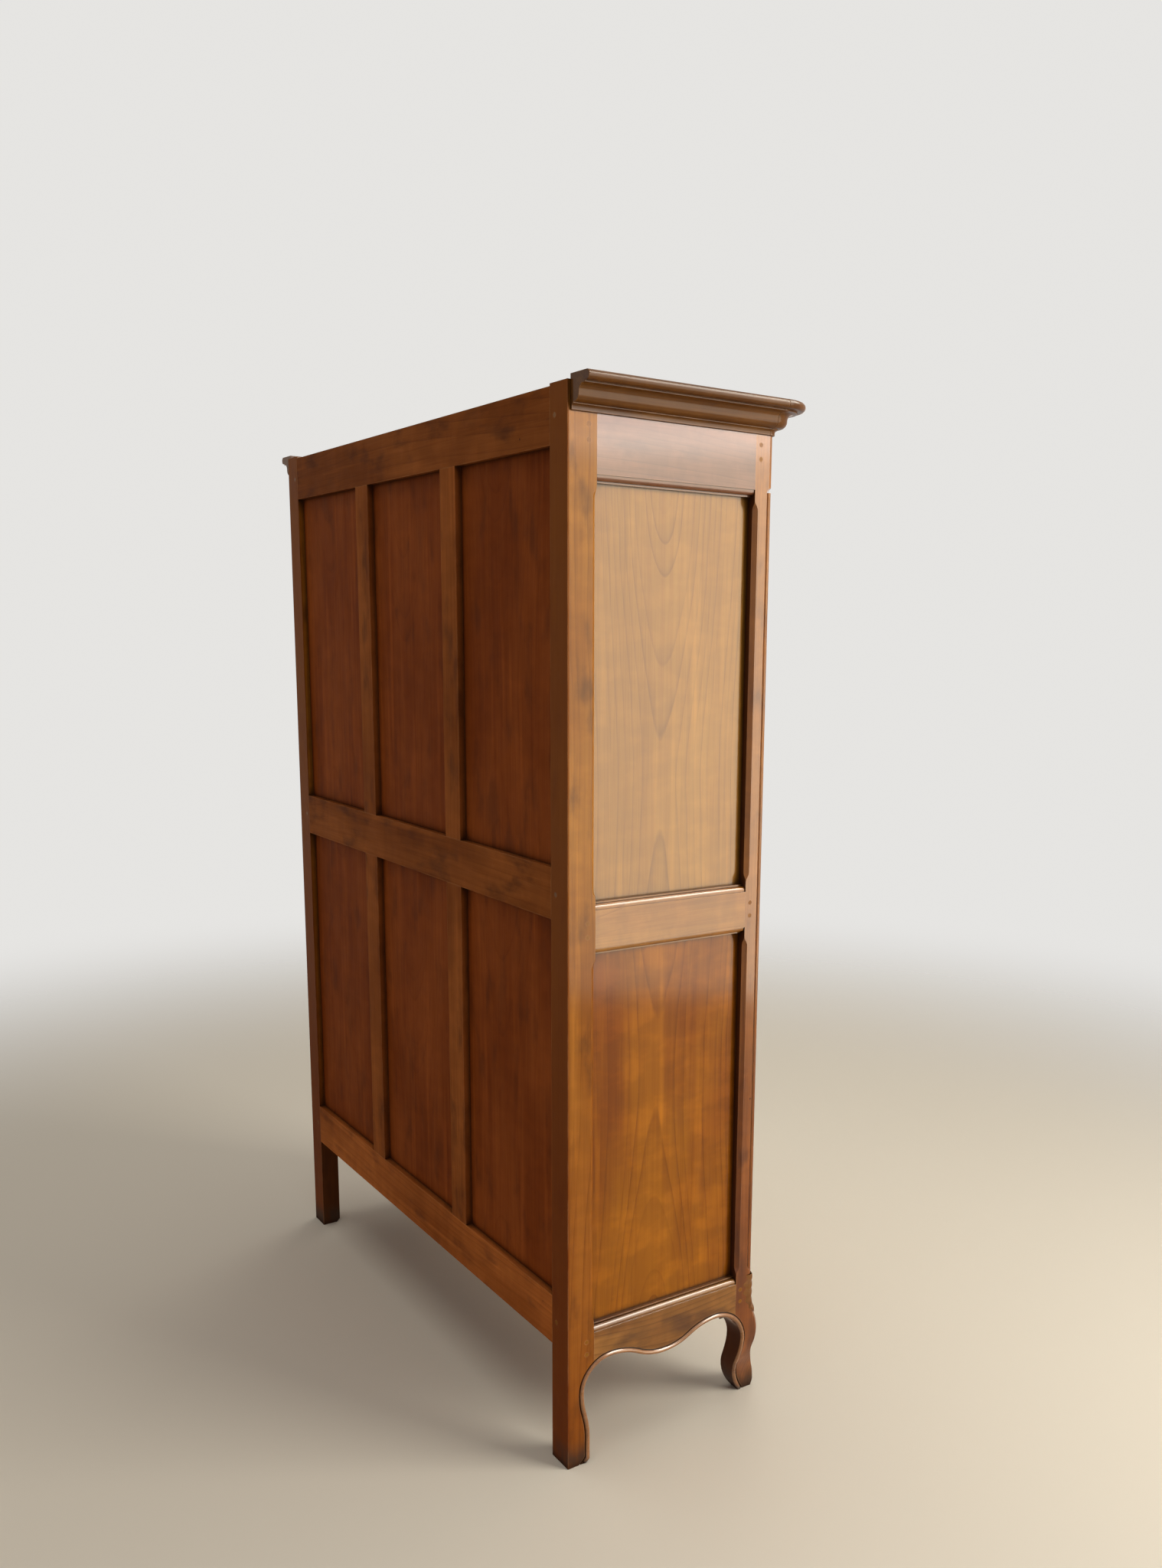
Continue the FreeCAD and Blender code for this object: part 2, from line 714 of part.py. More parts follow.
# Back rails across the full width, tenoned into the rear posts.
BACK_DEPTH = ("back - back_recess - tenon_thick", "back - back_recess")
for name in ("top", "mid", "base"):
    low = f"back_{name}_low"
    high = f"back_{name}_high"
    label = {"top": "back_top_rail", "mid": "back_middle_rail", "base": "back_bottom_rail"}[name]
    tenon_z = inset(low, high)
    left_end = ("-rear_x - tenon_rear", "-rear_x")
    pieces = [block(("-rear_x", "rear_x"), ("back_y", "back"), (low, high))]
    pieces += [block(x, BACK_DEPTH, tenon_z) for x in (left_end, flipped(left_end))]
    blank(label, join(pieces))
    let_in(["rear_post_left"], left_end, BACK_DEPTH, tenon_z, "fit_gap", "fit_gap", "fit_gap")
    start = ("-rear_x - tenon_rear / 2", "back - peg_length", f"({low} + {high}) / 2")
    peg(["rear_post_left", label], "y", start, LEFT_PEGS)
    hole([label], mirrored(HOLES[label][-1]))

# Muntins between the back rails, tenoned into them, and the six back panels.
MUNTIN_X = ("-back_bay / 2 - muntin_width", "-back_bay / 2")
BACK_PANEL = ("back - back_recess - panel_thick", "back - back_recess")
BAYS = (
    ("-rear_x", "-rear_x + back_bay"),
    ("-back_bay / 2", "back_bay / 2"),
    ("rear_x - back_bay", "rear_x"),
)
muntins = []
for row, below, above in (("lower", "base", "mid"), ("upper", "mid", "top")):
    rails = {"base": "back_bottom_rail", "mid": "back_middle_rail", "top": "back_top_rail"}
    low = f"back_{below}_high"
    high = f"back_{above}_low"
    hosts = [rails[below], rails[above]]
    tenon_x = ("-back_bay / 2 - muntin_width + tenon_inset", "-back_bay / 2 - tenon_inset")
    long_z = (f"{low} - tenon_front", f"{high} + tenon_front")
    body = join([block(MUNTIN_X, ("back_y", "back"), (low, high)), block(tenon_x, BACK_DEPTH, long_z)])
    for x in (tenon_x, flipped(tenon_x)):
        let_in(hosts, x, BACK_DEPTH, long_z, "fit_gap", "fit_gap", "fit_gap")
    z = (f"{low} - panel_tongue", f"{high} + panel_tongue")
    panels = []
    grooves = []
    for bay in BAYS:
        x = (f"{bay[0]} - panel_tongue", f"{bay[1]} + panel_tongue")
        panels.append(block(x, BACK_PANEL, z))
        groove = block(grown(x, "groove_room"), grown(BACK_PANEL, "fit_gap"), grown(z, "groove_room"))
        grooves.append(groove)
        hole(hosts, groove)
    hole(["rear_post_left"], grooves[0])
    grooved = cut(body, grooves[:2])
    muntins += [grooved, mirrored(grooved)]
    blank(f"back_{row}_panels", group(panels))
blank("back_muntins", group(muntins))

# Front rails between the front posts: plain frieze above, scalloped rail below.
FRONT_DEPTH = ("front + tenon_behind", "front + tenon_behind + tenon_thick")
FRONT_RAILS = (
    ("front_frieze_rail", ("frieze_low", "post_top"), inset("frieze_low", "post_top")),
    ("front_apron", ("apron_crest - front_drop - beyond", "side_apron_high"),
     inset("apron_crest - tenon_inset / 2", "side_apron_high")),
)
for name, z, tenon_z in FRONT_RAILS:
    left_end = ("-front_x - tenon_short", "-front_x")
    pieces = [block(("-front_x", "front_x"), ("front", "front_in"), z)]
    pieces += [block(x, FRONT_DEPTH, tenon_z) for x in (left_end, flipped(left_end))]
    blank(name, join(pieces))
    let_in(["front_post_left"], left_end, FRONT_DEPTH, tenon_z, "fit_gap", "fit_gap", "fit_gap")
    for peg_z in pegs_across(*tenon_z):
        peg(["front_post_left", name], "y", ("-front_x - tenon_short / 2", "front", peg_z), LEFT_PEGS)
        hole([name], mirrored(HOLES[name][-1]))
hole(["front_apron"], front_space)
hole(["front_apron"], ring("front", "front + quirk_deep", space_under_front(), "quirk_deep + beyond"))


# Cornice section: bead, hollow, fillet, ovolo, cove, step and torus, outward and up.
def cornice_section():
    lift = "cornice_bead + cornice_hollow"
    inner = f"{lift} + cornice_set"
    ovolo_top = f"{lift} + cornice_fillet + cornice_ovolo"
    ovolo_out = f"{inner} + cornice_ovolo"
    cove_top = f"{ovolo_top} + cornice_cove"
    cove_out = f"{ovolo_out} + cornice_cove"
    torus_low = "cornice_high - 2 * cornice_torus"
    torus_out = "cornice_out - cornice_torus"
    torus_mid = "cornice_high - cornice_torus"
    points = [
        ("0", "0", None),
        ("cornice_bead", "0", None),
        ("cornice_bead", "cornice_bead", (lift, "cornice_bead")),
        (lift, lift, None),
        (lift, f"{lift} + cornice_fillet", None),
        (inner, f"{lift} + cornice_fillet", (inner, ovolo_top)),
        (ovolo_out, ovolo_top, (cove_out, ovolo_top)),
        (cove_out, cove_top, None),
        (f"{cove_out} + cornice_shelf", cove_top, None),
        (f"{cove_out} + cornice_shelf", torus_low, None),
        (torus_out, torus_low, (torus_out, torus_mid)),
        ("cornice_out", torus_mid, (torus_out, torus_mid)),
        (torus_out, "cornice_high", None),
        ("0", "cornice_high", None),
    ]

    def at(out, up):
        return (f"-half - ({out})", f"cornice_low + {up}")
    return [(*at(out, up), None if centre is None else at(*centre)) for out, up, centre in points]


blank("cornice_left", slab("front", ("front + cornice_joint", "back - cornice_back"), cornice_section()))
cornice_path = [
    ("-half", "front + cornice_joint", None),
    ("-half", "front + corner_round", ("-half + corner_round", "front + corner_round")),
    ("-half + corner_round", "front", None),
    ("half - corner_round", "front", ("half - corner_round", "front + corner_round")),
    ("half", "front + corner_round", None),
    ("half", "front + cornice_joint", None),
]
cornice_front = doc.addObject("Part::Sweep", "cornice_run")
cornice_front.Sections = [drawing("front", "front + cornice_joint", cornice_section())]
path_sketch = drawing("plan", "cornice_low", cornice_path, False)
cornice_front.Spine = (path_sketch, [f"Edge{number}" for number in range(1, 6)])
cornice_front.Solid = True
cornice_front.Frenet = False
blank("cornice_front", cornice_front)

# Boards inside, notched round the rear posts, and the cleats they rest on.
BOARD_X = ("-side_x + board_gap", "side_x - board_gap")
BOARD_Y = ("front_in + board_gap", "back_y - board_gap")
CLEAT_Y = ("front_in", "rear_in")
cleats = []
for name, top in (("floor_board", "floor_high"), ("ceiling_board", "ceiling_high")):
    z = (f"{top} - board_thick", top)
    blank(name, block(BOARD_X, BOARD_Y, z))
    notch = (("-half", "-rear_x + board_gap"), ("rear_in - board_gap", "back"), grown(z, "beyond"))
    hole([name], block(*notch))
    hole([name], block(flipped(notch[0]), notch[1], notch[2]))
    under = (f"{top} - board_thick - cleat_size", f"{top} - board_thick")
    cleats.append(block(("-side_x", "-side_x + cleat_size"), CLEAT_Y, under))
blank("support_cleats", group(cleats + [mirrored(piece) for piece in cleats]))


# Toothed rack in the front left corner, drawn as a body of its own.
def body_sketch(body, role, steps):
    sketch = body.newObject("Sketcher::SketchObject", "drawn")
    plane = [feature for feature in body.Origin.OriginFeatures if feature.Role == role][0]
    sketch.AttachmentSupport = [(plane, "")]
    sketch.MapMode = "FlatFace"
    draw(sketch, steps)
    return sketch


rack = doc.addObject("PartDesign::Body", "rack")
rack_pad = rack.newObject("PartDesign::Pad", "rack_pad")
rack_pad.Profile = body_sketch(rack, "YZ_Plane", [
    ("0", "0", None),
    ("rack_wide", "0", None),
    ("rack_wide", "rack_high - rack_low", None),
    ("0", "rack_high - rack_low", None),
])
rack_pad.setExpression("Length", bound("rack_thick"))
notch = rack.newObject("PartDesign::Pocket", "tooth")
notch.Profile = body_sketch(rack, "YZ_Plane", [
    ("rack_wide - tooth_deep", "tooth_first", None),
    ("rack_wide + tooth_deep", "tooth_first", None),
    ("rack_wide + tooth_deep", "tooth_first + tooth_high", None),
    ("rack_wide", "tooth_first + tooth_high", None),
])
notch.Type = "ThroughAll"
notch.Midplane = True
doc.recompute()
teeth = rack.newObject("PartDesign::LinearPattern", "teeth")
teeth.Originals = [notch]
teeth.Direction = (notch.Profile[0], ["V_Axis"])
tooth_count = "floor((rack_high - rack_low - tooth_first - tooth_high) / tooth_pitch) + 1"
teeth.setExpression("Occurrences", bound(tooth_count))
teeth.setExpression("Length", bound(f"tooth_pitch * (({tooth_count}) - 1)"))
rack.Tip = teeth
for axis, formula in zip("xyz", ("-side_x", "front_in", "rack_low")):
    rack.setExpression(f"Placement.Base.{axis}", bound(formula))
rear_rack = doc.addObject("Part::Mirroring", "rear_rack")
rear_rack.Source = rack
rear_rack.Normal = FreeCAD.Vector(0, 1, 0)
rear_rack.setExpression("Base.y", bound("(front_in + rear_in) / 2"))
blank("toothed_racks", group([rack, rear_rack, mirrored(rack), mirrored(rear_rack)]))

# Three shelves on bars whose ends sit in the teeth.
RACK_X = ("-side_x", "-side_x + rack_thick")
RACKS_Y = (("front_in", "front_in + rack_wide"), ("rear_in - rack_wide", "rear_in"))
bars = []
shelves = []
for tooth in ("shelf_low_tooth", "shelf_mid_tooth", "shelf_high_tooth"):
    seat = f"rack_low + tooth_first + {tooth} * tooth_pitch"
    top = f"{seat} + bar_thick"
    low_end = "(tooth_deep - board_gap)"
    high_end = "(tooth_deep * (1 - bar_thick / tooth_high) - board_gap)"
    fore = "front_in + rack_wide"
    rear = "rear_in - rack_wide"
    bars.append(slab("side", RACK_X, [
        (f"{fore} - {low_end}", seat, None),
        (f"{rear} + {low_end}", seat, None),
        (f"{rear} + {high_end}", top, None),
        (f"{fore} - {high_end}", top, None),
    ]))
    z = (top, f"{top} + shelf_thick")
    board = block(BOARD_X, ("front_in + shelf_front", "back_y - board_gap"), z)
    tools = []
    for x in (RACK_X, flipped(RACK_X)):
        tools += [block(grown(x, "board_gap"), grown(y, "board_gap"), grown(z, "beyond")) for y in RACKS_Y]
    post = (grown(("-half", "-rear_x"), "board_gap"), grown(("rear_in", "back"), "board_gap"))
    tools += [block(x, post[1], grown(z, "beyond")) for x in (post[0], flipped(post[0]))]
    shelves.append(cut(board, tools))
blank("shelf_bars", group(bars + [mirrored(bar) for bar in bars]))
blank("shelves", group(shelves))

# Left door: stiles, rails, lower panel, glass and the beads that hold it.
DOOR_Y = ("front", "door_back")
DOOR_Z = ("door_low", "door_high")
INNER_LEFT = "door_left + door_stile"
INNER_RIGHT = "door_right - door_stile"
DOOR_TENON_Y = ("front + door_recess", "front + door_recess + tenon_thick")
CREST = "door_high - door_top_rail"
SPRING = f"{CREST} - door_top_drop"
STILES = ["door_left_hinge_stile", "door_left_meeting_stile"]
blank(STILES[0], block(("door_left", INNER_LEFT), DOOR_Y, DOOR_Z))
blank(STILES[1], block((INNER_RIGHT, "door_right"), DOOR_Y, DOOR_Z))
door_centre = f"({INNER_LEFT} + {INNER_RIGHT}) / 2"
arch = [(INNER_RIGHT, "door_high", None), (INNER_LEFT, "door_high", None)]
arch += wave((INNER_LEFT, SPRING), (door_centre, CREST)) + wave((door_centre, CREST), (INNER_RIGHT, SPRING))
arch += [(INNER_RIGHT, SPRING, None)]
DOOR_RAILS = (
    ("door_left_top_rail", SPRING, "door_high"),
    ("door_left_middle_rail", "door_mid_low", "door_mid_high"),
    ("door_left_bottom_rail", "door_low", "door_low + door_base_rail"),
)
for name, low, high in DOOR_RAILS:
    if name == "door_left_top_rail":
        body = slab("front", DOOR_Y, arch)
    else:
        body = block((INNER_LEFT, INNER_RIGHT), DOOR_Y, (low, high))
    tenon_z = inset(low, high)
    pieces = [body]
    for host, x in zip(STILES, ((f"{INNER_LEFT} - door_tenon", INNER_LEFT),
                                (INNER_RIGHT, f"{INNER_RIGHT} + door_tenon"))):
        pieces.append(block(x, DOOR_TENON_Y, tenon_z))
        let_in([host], x, DOOR_TENON_Y, tenon_z, "fit_gap", "fit_gap", "fit_gap")
    blank(name, join(pieces))

door_panel_x = (f"{INNER_LEFT} - panel_tongue", f"{INNER_RIGHT} + panel_tongue")
door_panel_y = ("front + door_recess", "front + door_recess + door_panel")
door_panel_z = ("door_low + door_base_rail - panel_tongue", "door_mid_low + panel_tongue")
blank("door_left_panel", block(door_panel_x, door_panel_y, door_panel_z))
let_in(STILES + ["door_left_middle_rail", "door_left_bottom_rail"],
       door_panel_x, door_panel_y, door_panel_z, "groove_room", "fit_gap", "groove_room")

rebate_x = (f"{INNER_LEFT} - glass_lap", f"{INNER_RIGHT} + glass_lap")
rebate_z = ("door_mid_high - glass_lap", f"{CREST} + glass_lap")
rebate = block(rebate_x, ("front + glass_seat", "door_back + beyond"), rebate_z)
hole(STILES + ["door_left_middle_rail", "door_left_top_rail"], rebate)
glass_y = ("front + glass_seat", "front + glass_seat + glass_thick")
blank("door_left_glass", block(grown(rebate_x, "-glass_gap"), glass_y, grown(rebate_z, "-glass_gap")))
bead_y = (glass_y[1], "door_back")
bead_inner = (f"{rebate_x[0]} + glass_lap", f"{rebate_x[1]} - glass_lap")
blank("door_left_glazing_beads", group([
    block((rebate_x[0], bead_inner[0]), bead_y, rebate_z),
    block((bead_inner[1], rebate_x[1]), bead_y, rebate_z),
    block(bead_inner, bead_y, (rebate_z[0], f"{rebate_z[0]} + glass_lap")),
    block(bead_inner, bead_y, (f"{rebate_z[1]} - glass_lap", rebate_z[1])),
]))

# Hinges: fixed lower halves with pins on the posts, upper halves with bores on the doors.
fixed_halves = []
moving_halves = []
for level in ("hinge_low", "hinge_mid", "hinge_high"):
    lower = (f"{level} - barrel_long", f"{level} - barrel_gap / 2")
    upper = (f"{level} + barrel_gap / 2", f"{level} + barrel_long")
    leaf_y = ("hinge_y", "front + leaf_deep")
    fixed_halves.append(join([
        rod("z", ("hinge_x", "hinge_y", lower[0]), "barrel_radius", f"({lower[1]}) - ({lower[0]})"),
        rod("z", ("hinge_x", "hinge_y", f"{level} - pin_long / 2"), "pin_radius", "1.5 * pin_long"),
        ball(("hinge_x", "hinge_y", f"{lower[0]} - finial_neck"), "finial_radius"),
        block(("-front_x", "-front_x + leaf_thick"), leaf_y, (f"{lower[0]} + finial_neck", lower[1])),
    ]))
    bore = rod("z", ("hinge_x", "hinge_y", f"{level} - beyond"), "pin_radius + pin_gap",
               "beyond + pin_long + barrel_gap")
    moving_halves.append(cut(join([
        rod("z", ("hinge_x", "hinge_y", upper[0]), "barrel_radius", f"({upper[1]}) - ({upper[0]})"),
        ball(("hinge_x", "hinge_y", f"{upper[1]} + finial_neck"), "finial_radius"),
        block(("door_left - leaf_thick", "door_left"), leaf_y, (upper[0], f"{upper[1]} - finial_neck")),
    ]), [bore]))
blank("post_hinge_halves", group(fixed_halves + [mirrored(half) for half in fixed_halves]))
blank("door_left_hinge_halves", group(moving_halves))

# Lock on the right door: case, bolt, key, keyhole and plates.
case_x = ("-door_right + lock_set", "-door_right + lock_set + lock_wide")
case_z = ("lock_high - lock_tall / 2", "lock_high + lock_tall / 2")
case_y = ("door_back", "door_back + lock_deep")
bolt_y = ("bolt_front", "bolt_front + bolt_deep")
bolt_z = ("bolt_low", "bolt_low + bolt_tall")
pocket = block(grown(case_x, "-lock_wall"), ("door_back - beyond", "door_back + lock_deep - lock_wall"),
               grown(case_z, "-lock_wall"))
bolt_slot = block((f"{case_x[0]} - beyond", f"{case_x[0]} + 2 * lock_wall"),
                  grown(bolt_y, "flush_gap"), grown(bolt_z, "flush_gap"))
blank("lock_case", cut(block(case_x, case_y, case_z), [pocket, bolt_slot]))
blank("lock_bolt", block((case_x[0], f"{case_x[0]} + bolt_long"), bolt_y, bolt_z))


def keyhole(place_x):
    round_part = rod("y", (place_x, "front - beyond", "key_z"), "key_hole", "2 * beyond + door_thick")
    slot_x = (f"{place_x} - key_bit_thick / 2 - flush_gap", f"{place_x} + key_bit_thick / 2 + flush_gap")
    slot_z = ("key_z - key_radius - key_bit_tall - flush_gap", "key_z")
    return join([round_part, block(slot_x, ("front - beyond", "door_back + beyond"), slot_z)])


bow = doc.addObject("Part::Torus", "bow")
bow.Placement = FreeCAD.Placement(FreeCAD.Vector(), TURNS["x"])
bow.setExpression("Radius1", bound("key_bow"))
bow.setExpression("Radius2", bound("key_bow_wire"))
for axis, formula in zip("xyz", ("key_x", "front - key_reach - key_bow", "key_z")):
    bow.setExpression(f"Placement.Base.{axis}", bound(formula))
bit_y = ("door_back + lock_wall", "door_back + lock_deep - 3 * lock_wall")
blank("key", join([
    rod("y", ("key_x", "front - key_reach", "key_z"), "key_radius",
        "key_reach + door_thick + lock_deep - 2 * lock_wall"),
    bow,
    block(("key_x - key_bit_thick / 2", "key_x + key_bit_thick / 2"), bit_y,
          ("key_z - key_radius - key_bit_tall", "key_z")),
]))

# Long plate with rounded ends, one on each door.
plate_x = ("key_x - plate_wide / 2", "key_x + plate_wide / 2")
plate_z = ("lock_high - plate_tall / 2", "lock_high + plate_tall / 2")
plate_low = f"{plate_z[0]} + plate_wide / 2"
plate_high = f"{plate_z[1]} - plate_wide / 2"
plate = slab("front", ("front - plate_thick", "front"), [
    (plate_x[1], plate_high, ("key_x", plate_high)),
    ("key_x", plate_z[1], ("key_x", plate_high)),
    (plate_x[0], plate_high, None),
    (plate_x[0], plate_low, ("key_x", plate_low)),
    ("key_x", plate_z[0], ("key_x", plate_low)),
    (plate_x[1], plate_low, None),
])
right_plate = cut(plate, [keyhole("key_x")])
blank("door_right_plate", right_plate)
blank("door_left_plate", mirrored(right_plate))

# Flush bolts on the back of the left door, with their guides and the keeper of the lock bolt.
flush_x_span = ("flush_x - flush_wide / 2", "flush_x + flush_wide / 2")
flush_y = ("flush_front", "flush_front + flush_deep")
BOLTS = (
    ("top_flush_bolt", "door_high - flush_end - flush_long", "front_frieze_rail",
     ("frieze_low - beyond", "frieze_low + flush_throw")),
    ("bottom_flush_bolt", "door_low + flush_end", "front_apron",
     ("side_apron_high - flush_throw", "side_apron_high + beyond")),
)
fittings = []
for name, low, host, mortise_z in BOLTS:
    bar = block(flush_x_span, flush_y, (low, f"{low} + flush_long"))
    knob = rod("y", ("flush_x", f"{flush_y[1]} - flush_gap", f"{low} + flush_long / 2"), "knob_radius",
               "knob_out + flush_gap")
    blank(name, join([bar, knob]))
    hole([host], block(grown(flush_x_span, "flush_gap"), grown(flush_y, "flush_gap"), mortise_z))
    room = block(grown(flush_x_span, "flush_gap"), grown(flush_y, "flush_gap"),
                 (f"{low} - beyond", f"{low} + flush_long + beyond"))
    for guide_low in (f"{low} + guide_tall", f"{low} + flush_long - 2 * guide_tall"):
        guide_y = ("door_back", f"{flush_y[1]} + flush_gap + guide_wall")
        guide = block(grown(flush_x_span, "flush_gap + guide_wall"), guide_y,
                      (guide_low, f"{guide_low} + guide_tall"))
        fittings.append(cut(guide, [room]))
keeper_x = ("door_right - lock_set - bolt_throw - keeper_spare", "door_right - lock_set")
keeper_z = ("lock_high - keeper_tall / 2", "lock_high + keeper_tall / 2")
keeper_room = block((f"{keeper_x[0]} + lock_wall", f"{keeper_x[1]} + beyond"),
                    grown(bolt_y, "flush_gap"), grown(bolt_z, "flush_gap"))
fittings.append(cut(block(keeper_x, case_y, keeper_z), [keeper_room]))
blank("door_left_fittings", group(fittings))

# Blocks that stop the closed doors.
stop_x = ("(door_left + door_right) / 2 - stop_long / 2", "(door_left + door_right) / 2 + stop_long / 2")
stop_y = ("door_back + stop_gap", "front_in")
stops = [
    block(stop_x, stop_y, ("frieze_low - stop_high", "frieze_low")),
    block(stop_x, stop_y, ("side_apron_high", "side_apron_high + stop_high")),
]
blank("door_stops", group(stops + [mirrored(piece) for piece in stops]))
blank("frame_pegs", group(LEFT_PEGS + [mirrored(piece) for piece in LEFT_PEGS]))

# Holes are taken out of the blanks, and the right half mirrors the left.
FINISHED = {name: cut(solid, HOLES[name]) for name, solid in PARTS.items()}
for name in list(FINISHED):
    right = name.replace("left", "right")
    if right not in FINISHED and name != "door_left_fittings":
        FINISHED[right] = mirrored(FINISHED[name])
meeting = FINISHED["door_right_meeting_stile"]
FINISHED["door_right_meeting_stile"] = cut(meeting, [keyhole("key_x")])
doc.recompute()

os.makedirs("parts", exist_ok=True)
for item in doc.Objects:
    if "Invalid" in item.State or "Error" in item.State:
        raise RuntimeError("not built: " + item.Name)
for name, item in FINISHED.items():
    item.Label = name
    if item.Shape.isNull() or not item.Shape.isValid():
        raise RuntimeError("not a valid solid: " + name)
    item.Shape.exportStep("parts/" + name + ".step")
print(len(FINISHED), "sub-parts written")
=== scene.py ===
# %% [markdown]
# # A cherry display cabinet, seen from behind
#
# The cabinet is an old piece of framed cherry: posts, rails and thin panels, two glazed doors
# and a moulded cornice. The shapes come from the CAD frame. Here they get soft arrises, grain,
# polish, carving and light.

# %% Load the frame
from collections import namedtuple
import json
import math
import bmesh
import bpy
from mathutils import Matrix, Vector
from mathutils.bvhtree import BVHTree


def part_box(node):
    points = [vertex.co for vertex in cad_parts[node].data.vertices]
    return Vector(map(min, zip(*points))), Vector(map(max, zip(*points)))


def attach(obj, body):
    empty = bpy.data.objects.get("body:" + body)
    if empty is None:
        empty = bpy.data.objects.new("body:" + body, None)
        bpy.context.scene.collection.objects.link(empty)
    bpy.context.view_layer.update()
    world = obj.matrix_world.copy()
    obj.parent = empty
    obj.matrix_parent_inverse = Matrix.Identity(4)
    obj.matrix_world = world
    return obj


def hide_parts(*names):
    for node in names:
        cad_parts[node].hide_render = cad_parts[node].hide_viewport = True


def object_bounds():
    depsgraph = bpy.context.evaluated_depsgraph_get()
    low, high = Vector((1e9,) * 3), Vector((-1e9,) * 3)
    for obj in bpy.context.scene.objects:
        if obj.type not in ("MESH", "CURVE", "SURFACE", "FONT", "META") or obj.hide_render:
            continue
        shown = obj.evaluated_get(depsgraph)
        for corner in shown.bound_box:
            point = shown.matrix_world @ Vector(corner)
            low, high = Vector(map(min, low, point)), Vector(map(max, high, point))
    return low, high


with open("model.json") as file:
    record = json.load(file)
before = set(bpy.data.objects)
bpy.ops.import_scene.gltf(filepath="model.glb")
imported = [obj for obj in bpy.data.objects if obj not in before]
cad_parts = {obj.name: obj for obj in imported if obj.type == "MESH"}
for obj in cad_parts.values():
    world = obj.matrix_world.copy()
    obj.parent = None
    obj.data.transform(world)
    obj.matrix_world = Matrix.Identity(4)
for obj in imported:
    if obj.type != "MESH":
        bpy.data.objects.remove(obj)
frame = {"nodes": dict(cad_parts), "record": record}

CAD_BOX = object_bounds()
NODES = frame["nodes"]
scene = bpy.context.scene
scene.view_settings.view_transform = "Standard"
print("nodes:", len(NODES), "box:", [tuple(round(c, 3) for c in corner) for corner in CAD_BOX])

# %% [markdown]
# ## Camera
#
# The photograph was taken standing behind the cabinet, near its left end. A camera is known by
# its place, the way it looks, its tilt and its focal length. These were measured from the
# cabinet's own corners. The picture was cropped off-centre, so the lens is shifted a little.

# %% Camera at the photograph's place
PHOTO = (1518, 2048)
FOCAL_PIXELS = 1723.0
AXIS_PIXEL = (894.6, 1148.0)
camera_data = bpy.data.cameras.new("photo_camera")
camera = bpy.data.objects.new("photo_camera", camera_data)
scene.collection.objects.link(camera)
scene.camera = camera
CAMERA_PLACE = (-2.477, 1.326, 1.472)
SENSOR_WIDTH = 36.0
heading, pitch, roll = 0.9472, 0.1810, 0.0158
forward = Vector((math.sin(heading) * math.cos(pitch), -math.cos(heading) * math.cos(pitch),
                  -math.sin(pitch)))
right = forward.cross(Vector((0, 0, 1))).normalized()
up = right.cross(forward)
tilted_right = right * math.cos(roll) + up * math.sin(roll)
tilted_up = up * math.cos(roll) - right * math.sin(roll)
turn = Matrix((tilted_right, tilted_up, -forward)).transposed().to_4x4()
camera.matrix_world = Matrix.Translation(CAMERA_PLACE) @ turn
camera_data.sensor_width = SENSOR_WIDTH
camera_data.lens = FOCAL_PIXELS / PHOTO[1] * camera_data.sensor_width
camera_data.shift_x = (PHOTO[0] / 2 - AXIS_PIXEL[0]) / PHOTO[1]
camera_data.shift_y = (AXIS_PIXEL[1] - PHOTO[1] / 2) / PHOTO[1]
print("lens", round(camera_data.lens, 2))
print("shift", round(camera_data.shift_x, 4), round(camera_data.shift_y, 4))

# %% [markdown]
# ## Shader nodes
#
# Light, floor, wood and metal are all drawn by trees of shader nodes. One function adds a node
# and sets or links its inputs, so a tree reads like a list of steps. The others work out a sum,
# begin a finish and close a tree.

# %% Helpers for every node tree
def feed(tree, node, inputs):
    for place, value in inputs.items():
        if isinstance(value, bpy.types.NodeSocket):
            tree.links.new(value, node.inputs[place])
        else:
            node.inputs[place].default_value = value
    return node


def add(tree, kind, inputs=None, **settings):
    node = tree.nodes.new("ShaderNode" + kind)
    for key, value in settings.items():
        setattr(node, key, value)
    return feed(tree, node, inputs or {})


def sum_of(tree, operation, *values):
    return add(tree, "Math", dict(enumerate(values)), operation=operation).outputs[0]


def new_finish(name):
    paint = bpy.data.materials.new(name)
    paint.use_nodes = True
    paint.node_tree.nodes.clear()
    return paint, paint.node_tree


def shown(tree, shader, end="OutputMaterial"):
    tree.links.new(shader.outputs[0], add(tree, end).inputs[0])


print("node helpers ready")

# %% [markdown]
# ## Stage and light
#
# The room is bright, with a tall window to the right of the picture. One large soft lamp stands
# for that window and lights the narrow side. Three more lamps only make gleams: the polish
# mirrors the window in the upper panel, its rosy top in the rail above it, and the sky in the
# mouldings. The world and two soft lamps give even room light, so the back stays in quiet shade.
# The floor is a pale disc that fades into the background before its rim, so no hard horizon shows.

# %% Pale room
WALL_COLOUR = (0.79, 0.78, 0.76, 1)
AIR_COLOUR, AIR_STRENGTH = (1.0, 0.97, 0.93, 1), 0.22
world = bpy.data.worlds.new("pale_room")
scene.world = world
world.use_nodes = True
room = world.node_tree
room.nodes.clear()
# The camera, the polish and the glass see the wall. Everything else only gets its weak light.
rays = add(room, "LightPath").outputs
seen = rays["Is Camera Ray"]
for kind in ("Is Glossy Ray", "Is Transmission Ray"):
    seen = sum_of(room, "MAXIMUM", seen, rays[kind])
wall = add(room, "Background", {"Color": WALL_COLOUR})
air = add(room, "Background", {"Color": AIR_COLOUR, "Strength": AIR_STRENGTH})
shown(room, add(room, "MixShader", {0: seen, 1: air.outputs[0], 2: wall.outputs[0]}), "OutputWorld")
print("world:", world.name, len(room.nodes), "nodes")

